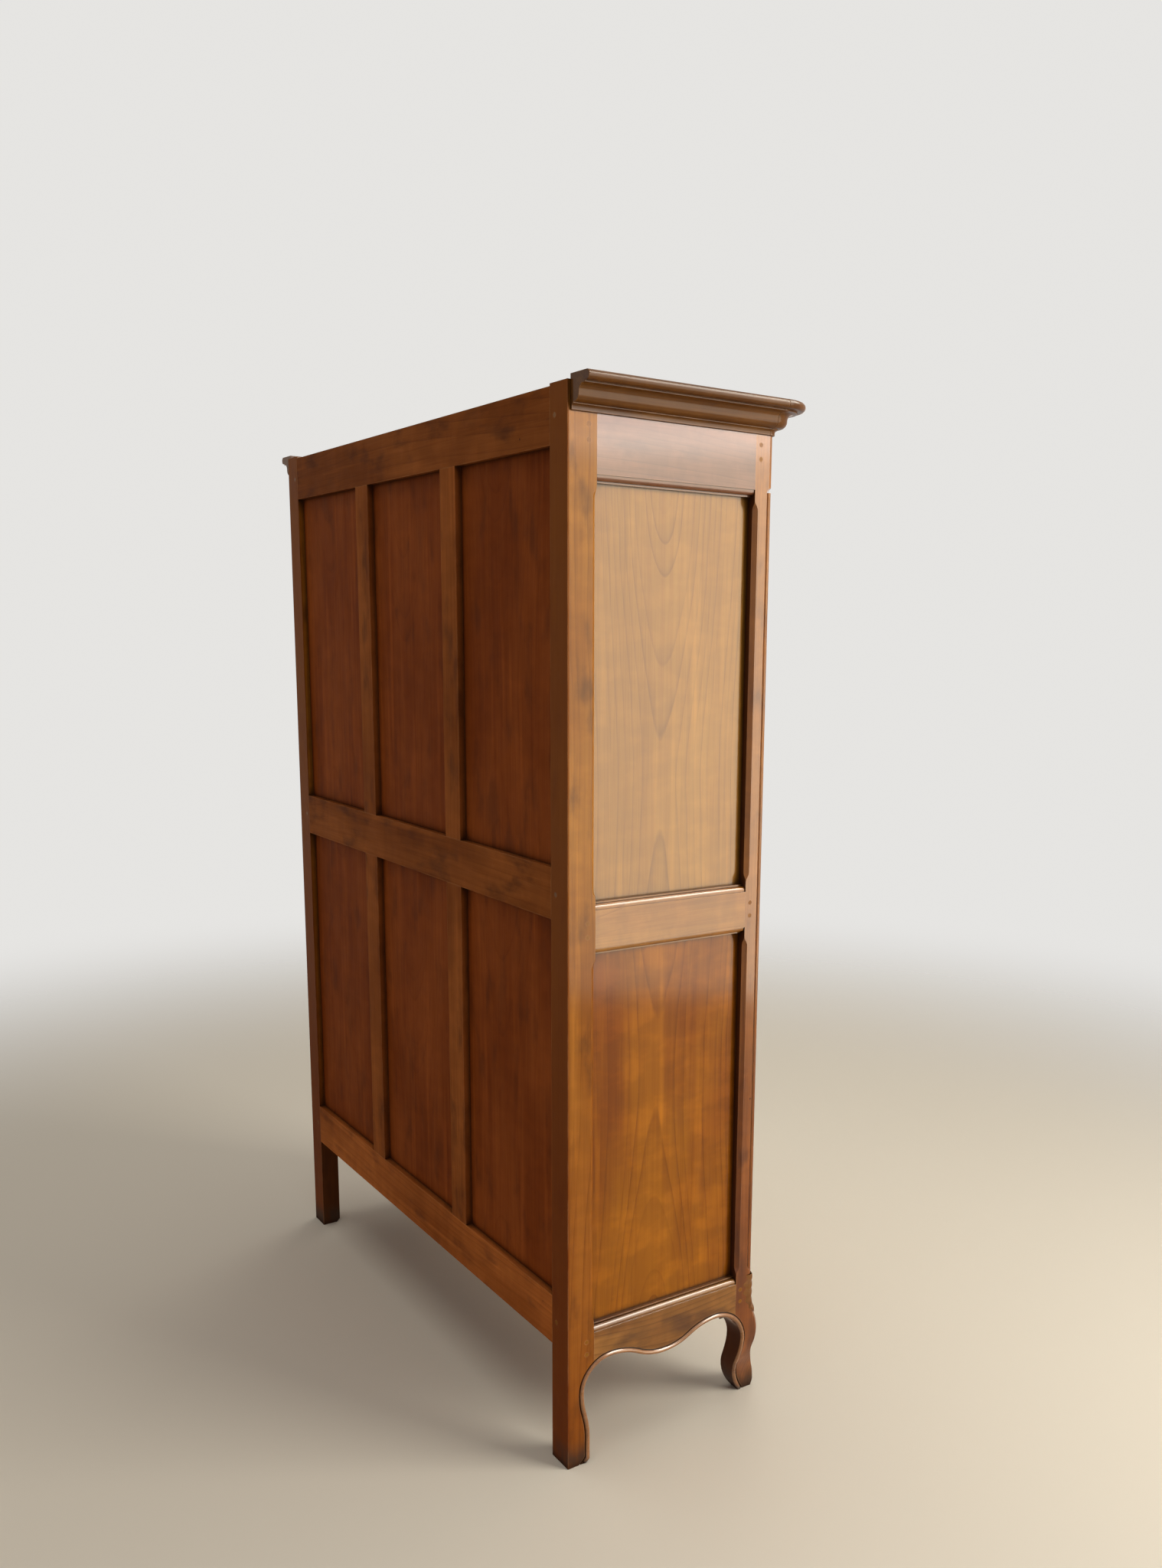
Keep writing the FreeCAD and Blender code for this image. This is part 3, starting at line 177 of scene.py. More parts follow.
# %% Window, gleams and fill
def soft_lamp(name, place, aim, size, watts, colour, light=True, gleam=True):
    lamp = bpy.data.lights.new(name, "AREA")
    lamp.shape = "RECTANGLE"
    lamp.size, lamp.size_y = size
    lamp.energy = watts
    lamp.color = colour
    holder = bpy.data.objects.new(name, lamp)
    scene.collection.objects.link(holder)
    holder.location = place
    holder.rotation_mode = "QUATERNION"
    holder.rotation_quaternion = (Vector(aim) - Vector(place)).to_track_quat("-Z", "Y")
    holder.visible_camera = False
    holder.visible_diffuse = light
    holder.visible_glossy = gleam
    return holder


WARM = (1.0, 0.95, 0.82)
GOLD = (1.0, 0.93, 0.74)
ROSY = (1.0, 0.87, 0.82)
soft_lamp("window", (-2.9, -1.9, 2.0), (-0.6, 0.0, 1.1), (1.8, 2.4), 92, WARM, gleam=False)
soft_lamp("window_gleam", (-3.1, -1.70, 1.13), (-0.6, 0.0, 1.0), (1.7, 2.26), 65, GOLD, light=False)
soft_lamp("window_top_gleam", (-3.1, -1.70, 2.52), (-0.63, 0.0, 1.78), (1.7, 0.7), 34, ROSY, light=False)
soft_lamp("sky_gleam", (-1.9, -1.9, 3.4), (-0.6, 0.0, 1.2), (2.4, 1.4), 260, WARM, light=False)
soft_lamp("far_fill", (2.6, -2.8, 2.4), (0.0, 0.0, 1.0), (2.0, 2.0), 18, WARM)
soft_lamp("ceiling", (0.0, 0.0, 4.2), (0.0, 0.0, 0.0), (4.0, 4.0), 62, WARM)

# %% Floor that fades out
FLOOR_COLOUR = (0.80, 0.74, 0.66, 1)
FLOOR_RADIUS, FLOOR_SPOKES, FLOOR_SOLID_TO, FLOOR_GONE_AT = 6.0, 96, 1.4, 4.6


def floor_disc(radius, spokes):
    shape = bmesh.new()
    bmesh.ops.create_circle(shape, cap_ends=True, radius=radius, segments=spokes)
    mesh = bpy.data.meshes.new("pale_floor")
    shape.to_mesh(mesh)
    shape.free()
    disc = bpy.data.objects.new("pale_floor", mesh)
    scene.collection.objects.link(disc)
    return disc


def floor_finish(solid_to, gone_at):
    paint, tree = new_finish("pale_floor")
    place = add(tree, "TexCoord").outputs["Object"]
    reach = add(tree, "VectorMath", {0: place}, operation="LENGTH").outputs["Value"]
    ends = {"Value": reach, "From Min": solid_to, "From Max": gone_at}
    fade = add(tree, "MapRange", ends, interpolation_type="SMOOTHERSTEP").outputs["Result"]
    board = add(tree, "BsdfDiffuse", {"Color": FLOOR_COLOUR})
    clear = add(tree, "BsdfTransparent")
    shown(tree, add(tree, "MixShader", {0: fade, 1: board.outputs[0], 2: clear.outputs[0]}))
    return paint


floor = floor_disc(FLOOR_RADIUS, FLOOR_SPOKES)
floor.data.materials.append(floor_finish(FLOOR_SOLID_TO, FLOOR_GONE_AT))
print("floor:", floor.name, "gone at", FLOOR_GONE_AT, "m")

# %% [markdown]
# ## Grain
#
# A board is a slice of a trunk. Growth rings are rough cylinders about the heart, and where the
# trunk bows, the slice shows tall pointed arches. So the grain is worked out as distance from a
# bowed heart line, in a node group that every wooden part shares. The same group gives fine
# fibres, slow patches of colour, and the ripple that polished cherry shows across the grain.

# %% Helpers for colour and chance
def vector_of(tree, operation, *values):
    return add(tree, "VectorMath", dict(enumerate(values)), operation=operation).outputs[0]


def ramp(tree, value, low, high, to_low=0.0, to_high=1.0):
    ends = {"Value": value, "From Min": low, "From Max": high, "To Min": to_low, "To Max": to_high}
    return add(tree, "MapRange", ends, interpolation_type="SMOOTHSTEP").outputs["Result"]


def mixed(tree, factor, first, second, way="MIX"):
    node = add(tree, "Mix", {0: factor, 6: first, 7: second}, data_type="RGBA", blend_type=way)
    return node.outputs[2]


def noise(tree, place, stretch, seed, detail=2.0):
    spread = vector_of(tree, "MULTIPLY", place, stretch)
    ends = {"Vector": spread, "W": seed, "Scale": 1.0, "Detail": detail}
    return add(tree, "TexNoise", ends, noise_dimensions="4D")


KINDS = {"value": "NodeSocketFloat", "vector": "NodeSocketVector", "colour": "NodeSocketColor"}


def shader_group(name, inputs, outputs):
    tree = bpy.data.node_groups.new(name, "ShaderNodeTree")
    for label, kind in inputs:
        tree.interface.new_socket(label, in_out="INPUT", socket_type=KINDS[kind])
    for label, kind in outputs:
        tree.interface.new_socket(label, in_out="OUTPUT", socket_type=KINDS[kind])
    start = tree.nodes.new("NodeGroupInput").outputs
    end = tree.nodes.new("NodeGroupOutput").inputs
    return tree, start, end


def placed(tree, group, inputs):
    node = tree.nodes.new("ShaderNodeGroup")
    node.node_tree = group
    return feed(tree, node, inputs).outputs


print("sockets:", list(KINDS))

# %% Shader group: rings, fibres, patches and ripple of a sawn board
SAWN, start, end = shader_group(
    "sawn_board",
    [("Place", "vector"), ("Board", "value"), ("Ring", "value"), ("Depth", "value"),
     ("Bow", "value"), ("Wander", "value")],
    [("Late", "value"), ("Fibre", "value"), ("Patch", "value"), ("Ripple", "value")])
seed = sum_of(SAWN, "MULTIPLY", start["Board"], 3.17)
slow = noise(SAWN, start["Place"], (4.0, 4.0, 1.6), seed, 3.0)
drift = vector_of(SAWN, "SUBTRACT", slow.outputs["Color"], (0.5, 0.5, 0.5))
shift = add(SAWN, "VectorMath", {0: drift, "Scale": start["Wander"]}, operation="SCALE").outputs[0]
moved = add(SAWN, "SeparateXYZ", {0: vector_of(SAWN, "ADD", start["Place"], shift)}).outputs
along = add(SAWN, "SeparateXYZ", {0: start["Place"]}).outputs["Z"]
sink = sum_of(SAWN, "MULTIPLY", sum_of(SAWN, "MULTIPLY", along, along), start["Bow"])
deep = sum_of(SAWN, "SUBTRACT", sum_of(SAWN, "ADD", moved["Y"], start["Depth"]), sink)
reach = sum_of(SAWN, "SQRT", sum_of(SAWN, "ADD", sum_of(SAWN, "MULTIPLY", moved["X"], moved["X"]),
                                    sum_of(SAWN, "MULTIPLY", deep, deep)))
count = sum_of(SAWN, "DIVIDE", reach, start["Ring"])
share = sum_of(SAWN, "FRACT", count)
line = sum_of(SAWN, "MULTIPLY", sum_of(SAWN, "POWER", share, 7.0), ramp(SAWN, share, 1.0, 0.93))
rise = sum_of(SAWN, "MULTIPLY_ADD", sum_of(SAWN, "POWER", share, 2.0), 0.28, line)
which = sum_of(SAWN, "ADD", sum_of(SAWN, "FLOOR", count), seed)
chance = add(SAWN, "TexWhiteNoise", {"W": which}, noise_dimensions="1D").outputs["Value"]
late = sum_of(SAWN, "MULTIPLY", rise, ramp(SAWN, chance, 0.0, 1.0, 0.15, 1.3))
SAWN.links.new(late, end["Late"])
fine = noise(SAWN, start["Place"], (520.0, 520.0, 9.0), seed, 3.0).outputs["Fac"]
band = noise(SAWN, start["Place"], (120.0, 120.0, 1.5), seed, 2.0).outputs["Fac"]
both = sum_of(SAWN, "ADD", sum_of(SAWN, "MULTIPLY", fine, 0.5), sum_of(SAWN, "MULTIPLY", band, 0.5))
SAWN.links.new(ramp(SAWN, both, 0.36, 0.66), end["Fibre"])
broad = noise(SAWN, start["Place"], (7.0, 7.0, 2.6), seed, 3.0).outputs["Fac"]
SAWN.links.new(ramp(SAWN, broad, 0.32, 0.68), end["Patch"])
cross = noise(SAWN, start["Place"], (16.0, 16.0, 30.0), seed, 4.0).outputs["Fac"]
SAWN.links.new(ramp(SAWN, cross, 0.34, 0.72), end["Ripple"])
print("group:", SAWN.name, len(SAWN.nodes), "nodes")

# %% [markdown]
# ## Age and painted shade
#
# Hands and cloths have rubbed the polish thin on the edges. Corners, recesses and mouldings are
# darkened, partly by dust and old wax and partly as painted shade. The edges are found with a
# Bevel node, whose normal leaves the true one near an arris, and the corners with ambient
# occlusion. Both are masks in one group, so each finish chooses how worn it is and how dark its corners
# are.

# %% Shader group: rubbed edges, and corners darkened by dust and painted shade
WEAR_AND_SHADE, start, end = shader_group(
    "aged_polish_and_shade",
    [("Colour", "colour"), ("Place", "vector"), ("Board", "value"), ("Wear", "value"), ("Grime_and_Shade", "value")],
    [("Colour", "colour"), ("Rough", "value")])
true = add(WEAR_AND_SHADE, "NewGeometry").outputs["Normal"]
soft = add(WEAR_AND_SHADE, "Bevel", {"Radius": 0.0035}, samples=6).outputs[0]
flat = add(WEAR_AND_SHADE, "VectorMath", {0: soft, 1: true}, operation="DOT_PRODUCT").outputs["Value"]
uneven = noise(WEAR_AND_SHADE, start["Place"], (60.0, 60.0, 22.0), start["Board"], 4.0).outputs["Fac"]
rubbed = sum_of(WEAR_AND_SHADE, "MULTIPLY", ramp(WEAR_AND_SHADE, flat, 0.995, 0.86), ramp(WEAR_AND_SHADE, uneven, 0.30, 0.72))
rubbed = sum_of(WEAR_AND_SHADE, "MULTIPLY", rubbed, start["Wear"])
bright = mixed(WEAR_AND_SHADE, 0.55, start["Colour"], (0.60, 0.30, 0.13, 1))
worn = mixed(WEAR_AND_SHADE, rubbed, start["Colour"], bright)
# Ambient occlusion darkens corners and recesses: partly dust and old wax, partly painted shade.
occlusion_shade = add(WEAR_AND_SHADE, "AmbientOcclusion", {"Distance": 0.026}, samples=8).outputs["AO"]
corner = sum_of(WEAR_AND_SHADE, "MULTIPLY", ramp(WEAR_AND_SHADE, occlusion_shade, 0.84, 0.42), start["Grime_and_Shade"])
WEAR_AND_SHADE.links.new(mixed(WEAR_AND_SHADE, corner, worn, (0.020, 0.008, 0.004, 1)), end["Colour"])
dull = sum_of(WEAR_AND_SHADE, "MULTIPLY_ADD", rubbed, 0.16, sum_of(WEAR_AND_SHADE, "MULTIPLY", corner, 0.25))
WEAR_AND_SHADE.links.new(sum_of(WEAR_AND_SHADE, "ADD", dull, ramp(WEAR_AND_SHADE, uneven, 0.25, 0.80, 0.0, 0.07)), end["Rough"])
print("group:", WEAR_AND_SHADE.name, len(WEAR_AND_SHADE.nodes), "nodes")

# %% [markdown]
# ## Wood finishes
#
# Every wooden part gets its own cut of the same cherry: the grain runs along the part, the heart
# lies where the maker would have had it, and a board number changes all the chance marks. The
# show sides are honey coloured under shellac. The back was stained darker and never rubbed up.

# %% Tones of the wood
# Colours of the early wood, of its darker patches and of the late wood, then how strong the
# growth lines, the old stain spots and the ripple are, how rough the wood is, how thick the
# polish lies on it and how strongly the bare wood reflects.
Tone = namedtuple("Tone", "pale mid late figure spots ripple rough polish mirror")
TONES = {
    "honey": Tone((0.425, 0.188, 0.021), (0.370, 0.154, 0.016), (0.170, 0.060, 0.008),
                  0.46, 0.04, 0.05, 0.34, 0.70, 1.16),
    "amber": Tone((0.430, 0.145, 0.006), (0.270, 0.070, 0.003), (0.130, 0.030, 0.002),
                  0.42, 0.10, 0.12, 0.34, 0.40, 1.10),
    "cherry": Tone((0.340, 0.130, 0.021), (0.240, 0.076, 0.009), (0.120, 0.036, 0.005),
                   0.45, 0.62, 0.08, 0.36, 0.70, 1.16),
    "post": Tone((0.490, 0.198, 0.023), (0.340, 0.112, 0.010), (0.170, 0.052, 0.005),
                 0.40, 0.55, 0.06, 0.40, 0.28, 1.08),
    "stained": Tone((0.340, 0.082, 0.016), (0.230, 0.048, 0.008), (0.130, 0.026, 0.005),
                    0.20, 0.35, 0.05, 0.50, 0.00, 1.07),
    "rail": Tone((0.380, 0.115, 0.026), (0.230, 0.062, 0.012), (0.120, 0.030, 0.007),
                 0.30, 0.55, 0.06, 0.52, 0.00, 1.07),
    "golden": Tone((0.440, 0.190, 0.032), (0.360, 0.132, 0.020), (0.170, 0.056, 0.009),
                   0.45, 0.14, 0.09, 0.36, 0.70, 1.16),
    "cornice": Tone((0.200, 0.080, 0.016), (0.125, 0.043, 0.008), (0.060, 0.019, 0.004),
                    0.40, 0.45, 0.06, 0.38, 0.24, 1.12),
    "sheen": Tone((0.260, 0.102, 0.046), (0.190, 0.068, 0.028), (0.090, 0.029, 0.011),
                  0.42, 0.55, 0.08, 0.38, 0.82, 1.20),
    "mottled": Tone((0.430, 0.185, 0.034), (0.160, 0.050, 0.009), (0.090, 0.026, 0.005),
                    0.45, 0.62, 0.10, 0.34, 0.75, 1.18),
    "worn": Tone((0.420, 0.180, 0.060), (0.300, 0.115, 0.030), (0.170, 0.060, 0.014),
                 0.30, 0.30, 0.04, 0.26, 0.90, 1.40),
    "inside": Tone((0.360, 0.200, 0.095), (0.270, 0.140, 0.062), (0.170, 0.080, 0.034),
                   0.45, 0.15, 0.08, 0.50, 0.10, 1.12),
}
print("tones:", list(TONES))

# %% Steps of a wood finish
# Which object axes run across, into and along the board.
RUNS = {"side": "YXZ", "back": "XYZ", "cross": "ZYX", "deep": "ZXY", "flat": "YZX"}
# Dark brown of old stains and holes, also used for painted shade on the feet.
STAIN_AND_SHADE = (0.060, 0.020, 0.010, 1.0)
SCUFFED = (0.060, 0.040, 0.030, 1.0)
FOOT_SHADE = (0.80, 0.65, 0.67, 1.0)
FIBRE_TINT, FIBRE_SHARE = (0.62, 0.50, 0.38, 1.0), 0.40
GOLD_LIFT, GOLD_SHARE = 1.45, 0.35
HOLE_SCALE, HOLE_CHANCE, MARK_SHARE = 9.0, 0.55, 0.85
BACK_Y = CAD_BOX[1].y


def opaque(colour):
    return (*colour, 1.0)


def board_place(tree, spot, run, heart, board, boards):
    # Boards side by side in one part each get a number and a start of their own.
    across, into, along = (sum_of(tree, "SUBTRACT", spot[axis], middle)
                           for axis, middle in zip(RUNS[run], heart))
    if boards:
        number = sum_of(tree, "ROUND", sum_of(tree, "DIVIDE", across, boards))
        across = sum_of(tree, "SUBTRACT", across, sum_of(tree, "MULTIPLY", number, boards))
        chance = add(tree, "TexWhiteNoise", {"W": number}, noise_dimensions="1D").outputs["Value"]
        along = sum_of(tree, "MULTIPLY_ADD", chance, 0.5, along)
        board = sum_of(tree, "MULTIPLY_ADD", number, 1.7, board)
    return add(tree, "CombineXYZ", {0: across, 1: into, 2: along}).outputs[0], board


def grain_colour(tree, place, board, grain, look):
    colour = mixed(tree, grain["Patch"], opaque(look.pale), opaque(look.mid))
    colour = mixed(tree, sum_of(tree, "MULTIPLY", grain["Late"], look.figure), colour, opaque(look.late))
    streak = sum_of(tree, "MULTIPLY", grain["Fibre"], FIBRE_SHARE)
    colour = mixed(tree, streak, colour, FIBRE_TINT, "MULTIPLY")
    gold = noise(tree, place, (55.0, 55.0, 2.4), sum_of(tree, "ADD", board, 31.0), 3.0).outputs["Fac"]
    gold = sum_of(tree, "MULTIPLY", ramp(tree, gold, 0.52, 0.74), GOLD_SHARE)
    colour = mixed(tree, gold, colour, opaque([GOLD_LIFT * part for part in look.pale]))
    shimmer = ramp(tree, grain["Ripple"], 0.0, 1.0, 1.0 - look.ripple, 1.0 + look.ripple)
    return mixed(tree, 1.0, colour, shimmer, "MULTIPLY")


def old_marks(tree, place, blot, look, age, colour):
    stain = sum_of(tree, "MULTIPLY", ramp(tree, blot, 0.50, 0.72), look.spots)
    colour = mixed(tree, stain, colour, STAIN_AND_SHADE)
    hole = add(tree, "TexVoronoi", {"Vector": place, "Scale": HOLE_SCALE})
    lucky = add(tree, "SeparateColor", {0: hole.outputs["Color"]}).outputs[0]
    speck = sum_of(tree, "MULTIPLY", ramp(tree, hole.outputs["Distance"], 0.022, 0.014),
                   sum_of(tree, "GREATER_THAN", lucky, HOLE_CHANCE))
    return mixed(tree, sum_of(tree, "MULTIPLY", speck, age), colour, STAIN_AND_SHADE)


# The back face of a rear post has no polish and is painted darker, towards the back rails' colour, as
# painted shade.
def unpolished_shaded_back(tree, spot, colour, polish):
    shaded_back_face = ramp(tree, spot["Y"], BACK_Y - 0.004, BACK_Y - 0.001)
    bare = opaque(TONES["rail"].mid)
    colour = mixed(tree, sum_of(tree, "MULTIPLY", shaded_back_face, MARK_SHARE), colour, bare)
    return colour, sum_of(tree, "MULTIPLY_ADD", shaded_back_face, -polish, polish)


def foot_marks(tree, spot, blot, foot, colour, polish):
    # Darker and redder towards the floor, painted shade on faces of the feet the light misses, scuffed at
    # the bottom.
    colour = mixed(tree, ramp(tree, spot["Z"], 1.2, 0.3), colour, FOOT_SHADE, "MULTIPLY")
    # Painted shade: faces turned inwards low on the feet and, on the front feet, faces turned to the back.
    facing = add(tree, "SeparateXYZ", {0: add(tree, "NewGeometry").outputs["True Normal"]}).outputs
    inner_way = sum_of(tree, "SIGN", sum_of(tree, "MULTIPLY", spot["X"], -1.0))
    inward = sum_of(tree, "MULTIPLY", facing["X"], inner_way)
    shaded_foot_faces = sum_of(tree, "MULTIPLY", ramp(tree, inward, 0.35, 0.75), ramp(tree, spot["Z"], 0.27, 0.25))
    if foot == "front":
        shaded_foot_faces = sum_of(tree, "MAXIMUM", shaded_foot_faces, ramp(tree, facing["Y"], 0.80, 0.95))
    colour = mixed(tree, sum_of(tree, "MULTIPLY", shaded_foot_faces, MARK_SHARE), colour, STAIN_AND_SHADE)
    scuff = sum_of(tree, "MULTIPLY", ramp(tree, spot["Z"], 0.060, 0.012), ramp(tree, blot, 0.30, 0.52))
    colour = mixed(tree, sum_of(tree, "MULTIPLY", scuff, MARK_SHARE), colour, SCUFFED)
    for mark in (shaded_foot_faces, scuff):
        polish = sum_of(tree, "MULTIPLY", polish, sum_of(tree, "SUBTRACT", 1.0, mark))
    return colour, polish


print("steps ready for the runs", list(RUNS))

# %% Wood finish from one set of values
AGE = 0.8
WANDER, WAVE_DEEP, PORE_DEEP, COAT_ROUGH = 0.03, 0.00025, 0.0004, 0.11


def wood_finish(name, run, heart, board, tone, ring, depth, bow, boards=None, dull_shaded_back=False, foot=None,
                age=AGE, shade=1.0):
    look = TONES[tone]
    polish = look.polish
    paint, tree = new_finish(name)
    spot = add(tree, "SeparateXYZ", {0: add(tree, "TexCoord").outputs["Object"]}).outputs
    place, board = board_place(tree, spot, run, heart, board, boards)
    grain = placed(tree, SAWN, {"Place": place, "Board": board, "Ring": ring, "Depth": depth, "Bow": bow,
                                "Wander": WANDER})
    colour = grain_colour(tree, place, board, grain, look)
    blot = noise(tree, place, (26.0, 26.0, 10.0), board, 5.0).outputs["Fac"]
    colour = old_marks(tree, place, blot, look, age, colour)
    if shade != 1.0:
        colour = mixed(tree, 1.0, colour, (shade, shade, shade, 1.0), "MULTIPLY")
    if dull_shaded_back:
        colour, polish = unpolished_shaded_back(tree, spot, colour, polish)
    if foot:
        colour, polish = foot_marks(tree, spot, blot, foot, colour, polish)
    # The group rubs the edges and darkens the corners with dust and painted shade.
    worn_and_shaded = placed(tree, WEAR_AND_SHADE, {"Colour": colour, "Place": place, "Board": board, "Wear": age, "Grime_and_Shade": age})
    height = sum_of(tree, "MULTIPLY_ADD", grain["Fibre"], 0.6, grain["Late"])
    waves = add(tree, "Bump", {"Strength": 1.0, "Distance": WAVE_DEEP, "Height": grain["Ripple"]})
    relief = add(tree, "Bump", {"Strength": 0.10, "Distance": PORE_DEEP, "Height": height,
                                "Normal": waves.outputs[0]}, invert=True)
    shown(tree, add(tree, "BsdfPrincipled", {
        "Base Color": worn_and_shaded["Colour"], "Roughness": sum_of(tree, "ADD", worn_and_shaded["Rough"], look.rough),
        "Normal": relief.outputs[0], "Coat Weight": polish, "Coat Roughness": COAT_ROUGH,
        "IOR": look.mirror}))
    return paint


print("wood finish ready, age", AGE)

# %% [markdown]
# ## Eased arrises
#
# No maker leaves a sharp edge on a cabinet: one stroke of a plane takes it off. The CAD parts
# are sharp, so each wooden part gets a copy with its triangles merged and a narrow Bevel
# modifier. The copy stands exactly where the CAD part is, and takes its place in the picture.

# %% Copy of a CAD part with soft edges
BODIES = frame["record"]["behaviour"]["bodies"]
BODY_OF = {node: body for body, nodes in BODIES.items() for node in nodes}
ARRIS, SAME_VERT = 0.0012, 0.00002
FLAT_ANGLE, EASED_ANGLE, SHARP_ANGLE = math.radians(0.4), math.radians(34), math.radians(32)


def merged(node):
    shape = bmesh.new()
    shape.from_mesh(NODES[node].data)
    bmesh.ops.remove_doubles(shape, verts=shape.verts, dist=SAME_VERT)
    bmesh.ops.dissolve_limit(shape, angle_limit=FLAT_ANGLE, verts=shape.verts, edges=shape.edges)
    return shape


def eased(node, finish):
    shape = merged(node)
    amount = shape.edges.layers.float.new("bevel_weight_edge")
    for edge in shape.edges:
        if len(edge.link_faces) == 2 and edge.calc_face_angle() > EASED_ANGLE:
            edge[amount] = 1.0
    mesh = bpy.data.meshes.new(node + "_eased")
    shape.to_mesh(mesh)
    shape.free()
    if "custom_normal" in mesh.attributes:
        mesh.attributes.remove(mesh.attributes["custom_normal"])
    mesh.shade_smooth()
    mesh.set_sharp_from_angle(angle=SHARP_ANGLE)
    mesh.materials.clear()
    mesh.materials.append(finish)
    piece = bpy.data.objects.new(node + "_eased", mesh)
    scene.collection.objects.link(piece)
    arris = piece.modifiers.new("arris", "BEVEL")
    arris.width = ARRIS
    arris.segments = 2
    arris.limit_method = "WEIGHT"
    arris.harden_normals = True
    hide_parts(node)
    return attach(piece, BODY_OF[node])


def heart_of(node, run, beside):
    low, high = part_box(node)
    middle = (low + high) / 2
    across, into, along = ("XYZ".index(axis) for axis in RUNS[run])
    return (middle[across] + beside[0], middle[into], middle[along] + beside[1])


def painted(node, finish):
    NODES[node].data.materials.clear()
    NODES[node].data.materials.append(finish)
    return NODES[node]


print("bodies:", sorted(set(BODY_OF.values())))

# %% Cuts of wood for each part
# part, run of the grain, heart beside the middle (across, along), ring, depth, bow, tone
CUTS = [
    ("side_upper_panel", "side", (0.016, -0.18), 0.0110, 0.085, 0.25, "honey"),
    ("side_lower_panel", "side", (0.016, 0.115), 0.0110, 0.085, 0.25, "amber"),
    ("rear_post", "back", (0.160, 0.3), 0.0060, 0.110, 0.01, "post"),
    ("front_post", "side", (0.170, 0.2), 0.0060, 0.090, 0.01, "cherry"),
    ("side_top_rail", "deep", (0.090, 0.1), 0.0075, 0.100, 0.30, "sheen"),
    ("side_middle_rail", "deep", (0.070, -0.1), 0.0075, 0.100, 0.40, "golden"),
    ("side_apron", "deep", (-0.050, 0.0), 0.0075, 0.100, 0.40, "mottled"),
    ("cornice", "deep", (0.200, 0.0), 0.0055, 0.150, 0.05, "cornice"),
]
# Boards from lighter or darker trees. The bottom rail of the back is painted lighter,
# as painted light from the floor.
SHADES = {"back_bottom_rail": 1.5, "back_muntins": 1.15, "frame_pegs": 0.75,
          "front_post_left": 1.2, "front_post_right": 1.2}
ENDS = {"_left": -1, "_right": 1}
FEET = {"front_post": "front", "rear_post": "rear"}
eased_parts = []
for number, (part, run, beside, ring, depth, bow, tone) in enumerate(CUTS):
    for end_number, end_name in enumerate(ENDS):
        node = part + end_name
        heart = heart_of(node, run, beside)
        board = 3.0 * number + 40.0 * end_number
        finish = wood_finish(node + "_wood", run, heart, board, tone, ring, depth, bow,
                             dull_shaded_back=part == "rear_post", foot=FEET.get(part),
                             shade=SHADES.get(node, 1.0))
        if part.endswith("panel"):
            painted(node, finish)
        else:
            eased_parts.append(eased(node, finish))
print("eased:", len(eased_parts))

# %% Back frame, front rails and inside boards
LONE_CUTS = [
    ("back_upper_panels", "back", (0.03, 0.0), 0.0100, 0.130, 0.30, "stained"),
    ("back_lower_panels", "back", (0.02, 0.0), 0.0100, 0.130, 0.35, "stained"),
    ("back_top_rail", "cross", (0.10, 0.2), 0.0080, 0.100, 0.05, "rail"),
    ("back_middle_rail", "cross", (0.08, -0.2), 0.0080, 0.100, 0.06, "rail"),
    ("back_bottom_rail", "cross", (-0.09, 0.1), 0.0080, 0.100, 0.05, "rail"),
    ("back_muntins", "back", (0.12, 0.0), 0.0070, 0.100, 0.02, "rail"),
    ("cornice_front", "cross", (0.20, 0.0), 0.0055, 0.150, 0.02, "cornice"),
    ("front_frieze_rail", "cross", (0.08, 0.1), 0.0075, 0.110, 0.08, "cherry"),
    ("front_apron", "cross", (-0.06, 0.0), 0.0075, 0.110, 0.08, "cherry"),
    ("frame_pegs", "cross", (0.10, 0.0), 0.0030, 0.060, 0.00, "post"),
    ("ceiling_board", "flat", (0.00, 0.1), 0.0100, 0.120, 0.10, "inside"),
    ("floor_board", "flat", (0.02, 0.2), 0.0100, 0.120, 0.10, "inside"),
    ("shelves", "flat", (0.01, -0.2), 0.0100, 0.110, 0.12, "inside"),
    ("shelf_bars", "deep", (0.10, 0.0), 0.0060, 0.090, 0.00, "inside"),
    ("toothed_racks", "side", (0.15, 0.0), 0.0060, 0.090, 0.00, "inside"),
    ("support_cleats", "deep", (0.10, 0.0), 0.0060, 0.090, 0.00, "inside"),
    ("door_stops", "cross", (0.10, 0.0), 0.0060, 0.090, 0.00, "inside"),
]
AGES = {"frame_pegs": 0.25}
BACK_PANELS = 3
PANEL_PITCH = (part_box("back_upper_panels")[1].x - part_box("back_upper_panels")[0].x) / BACK_PANELS
for number, (node, run, beside, ring, depth, bow, tone) in enumerate(LONE_CUTS):
    heart = heart_of(node, run, beside)
    several = PANEL_PITCH if node.endswith("panels") else None
    finish = wood_finish(node + "_wood", run, heart, 100.0 + 7.0 * number, tone, ring, depth, bow,
                         boards=several, age=AGES.get(node, AGE), shade=SHADES.get(node, 1.0))
    if node.endswith("panels") or node in ("frame_pegs", "toothed_racks"):
        painted(node, finish)
    else:
        eased_parts.append(eased(node, finish))
print("eased:", len(eased_parts))

# %% [markdown]
# ## Bead along the scallops
#
# A half-round bead runs up each rear foot, along the scalloped rail and down the front foot. A
# joiner works it with a scratch stock that follows the edge. The same walk is made here: the
# lower arris of the three pieces is found by its faces, its points are put in order, and a small
# oval is swept along them beside the groove.

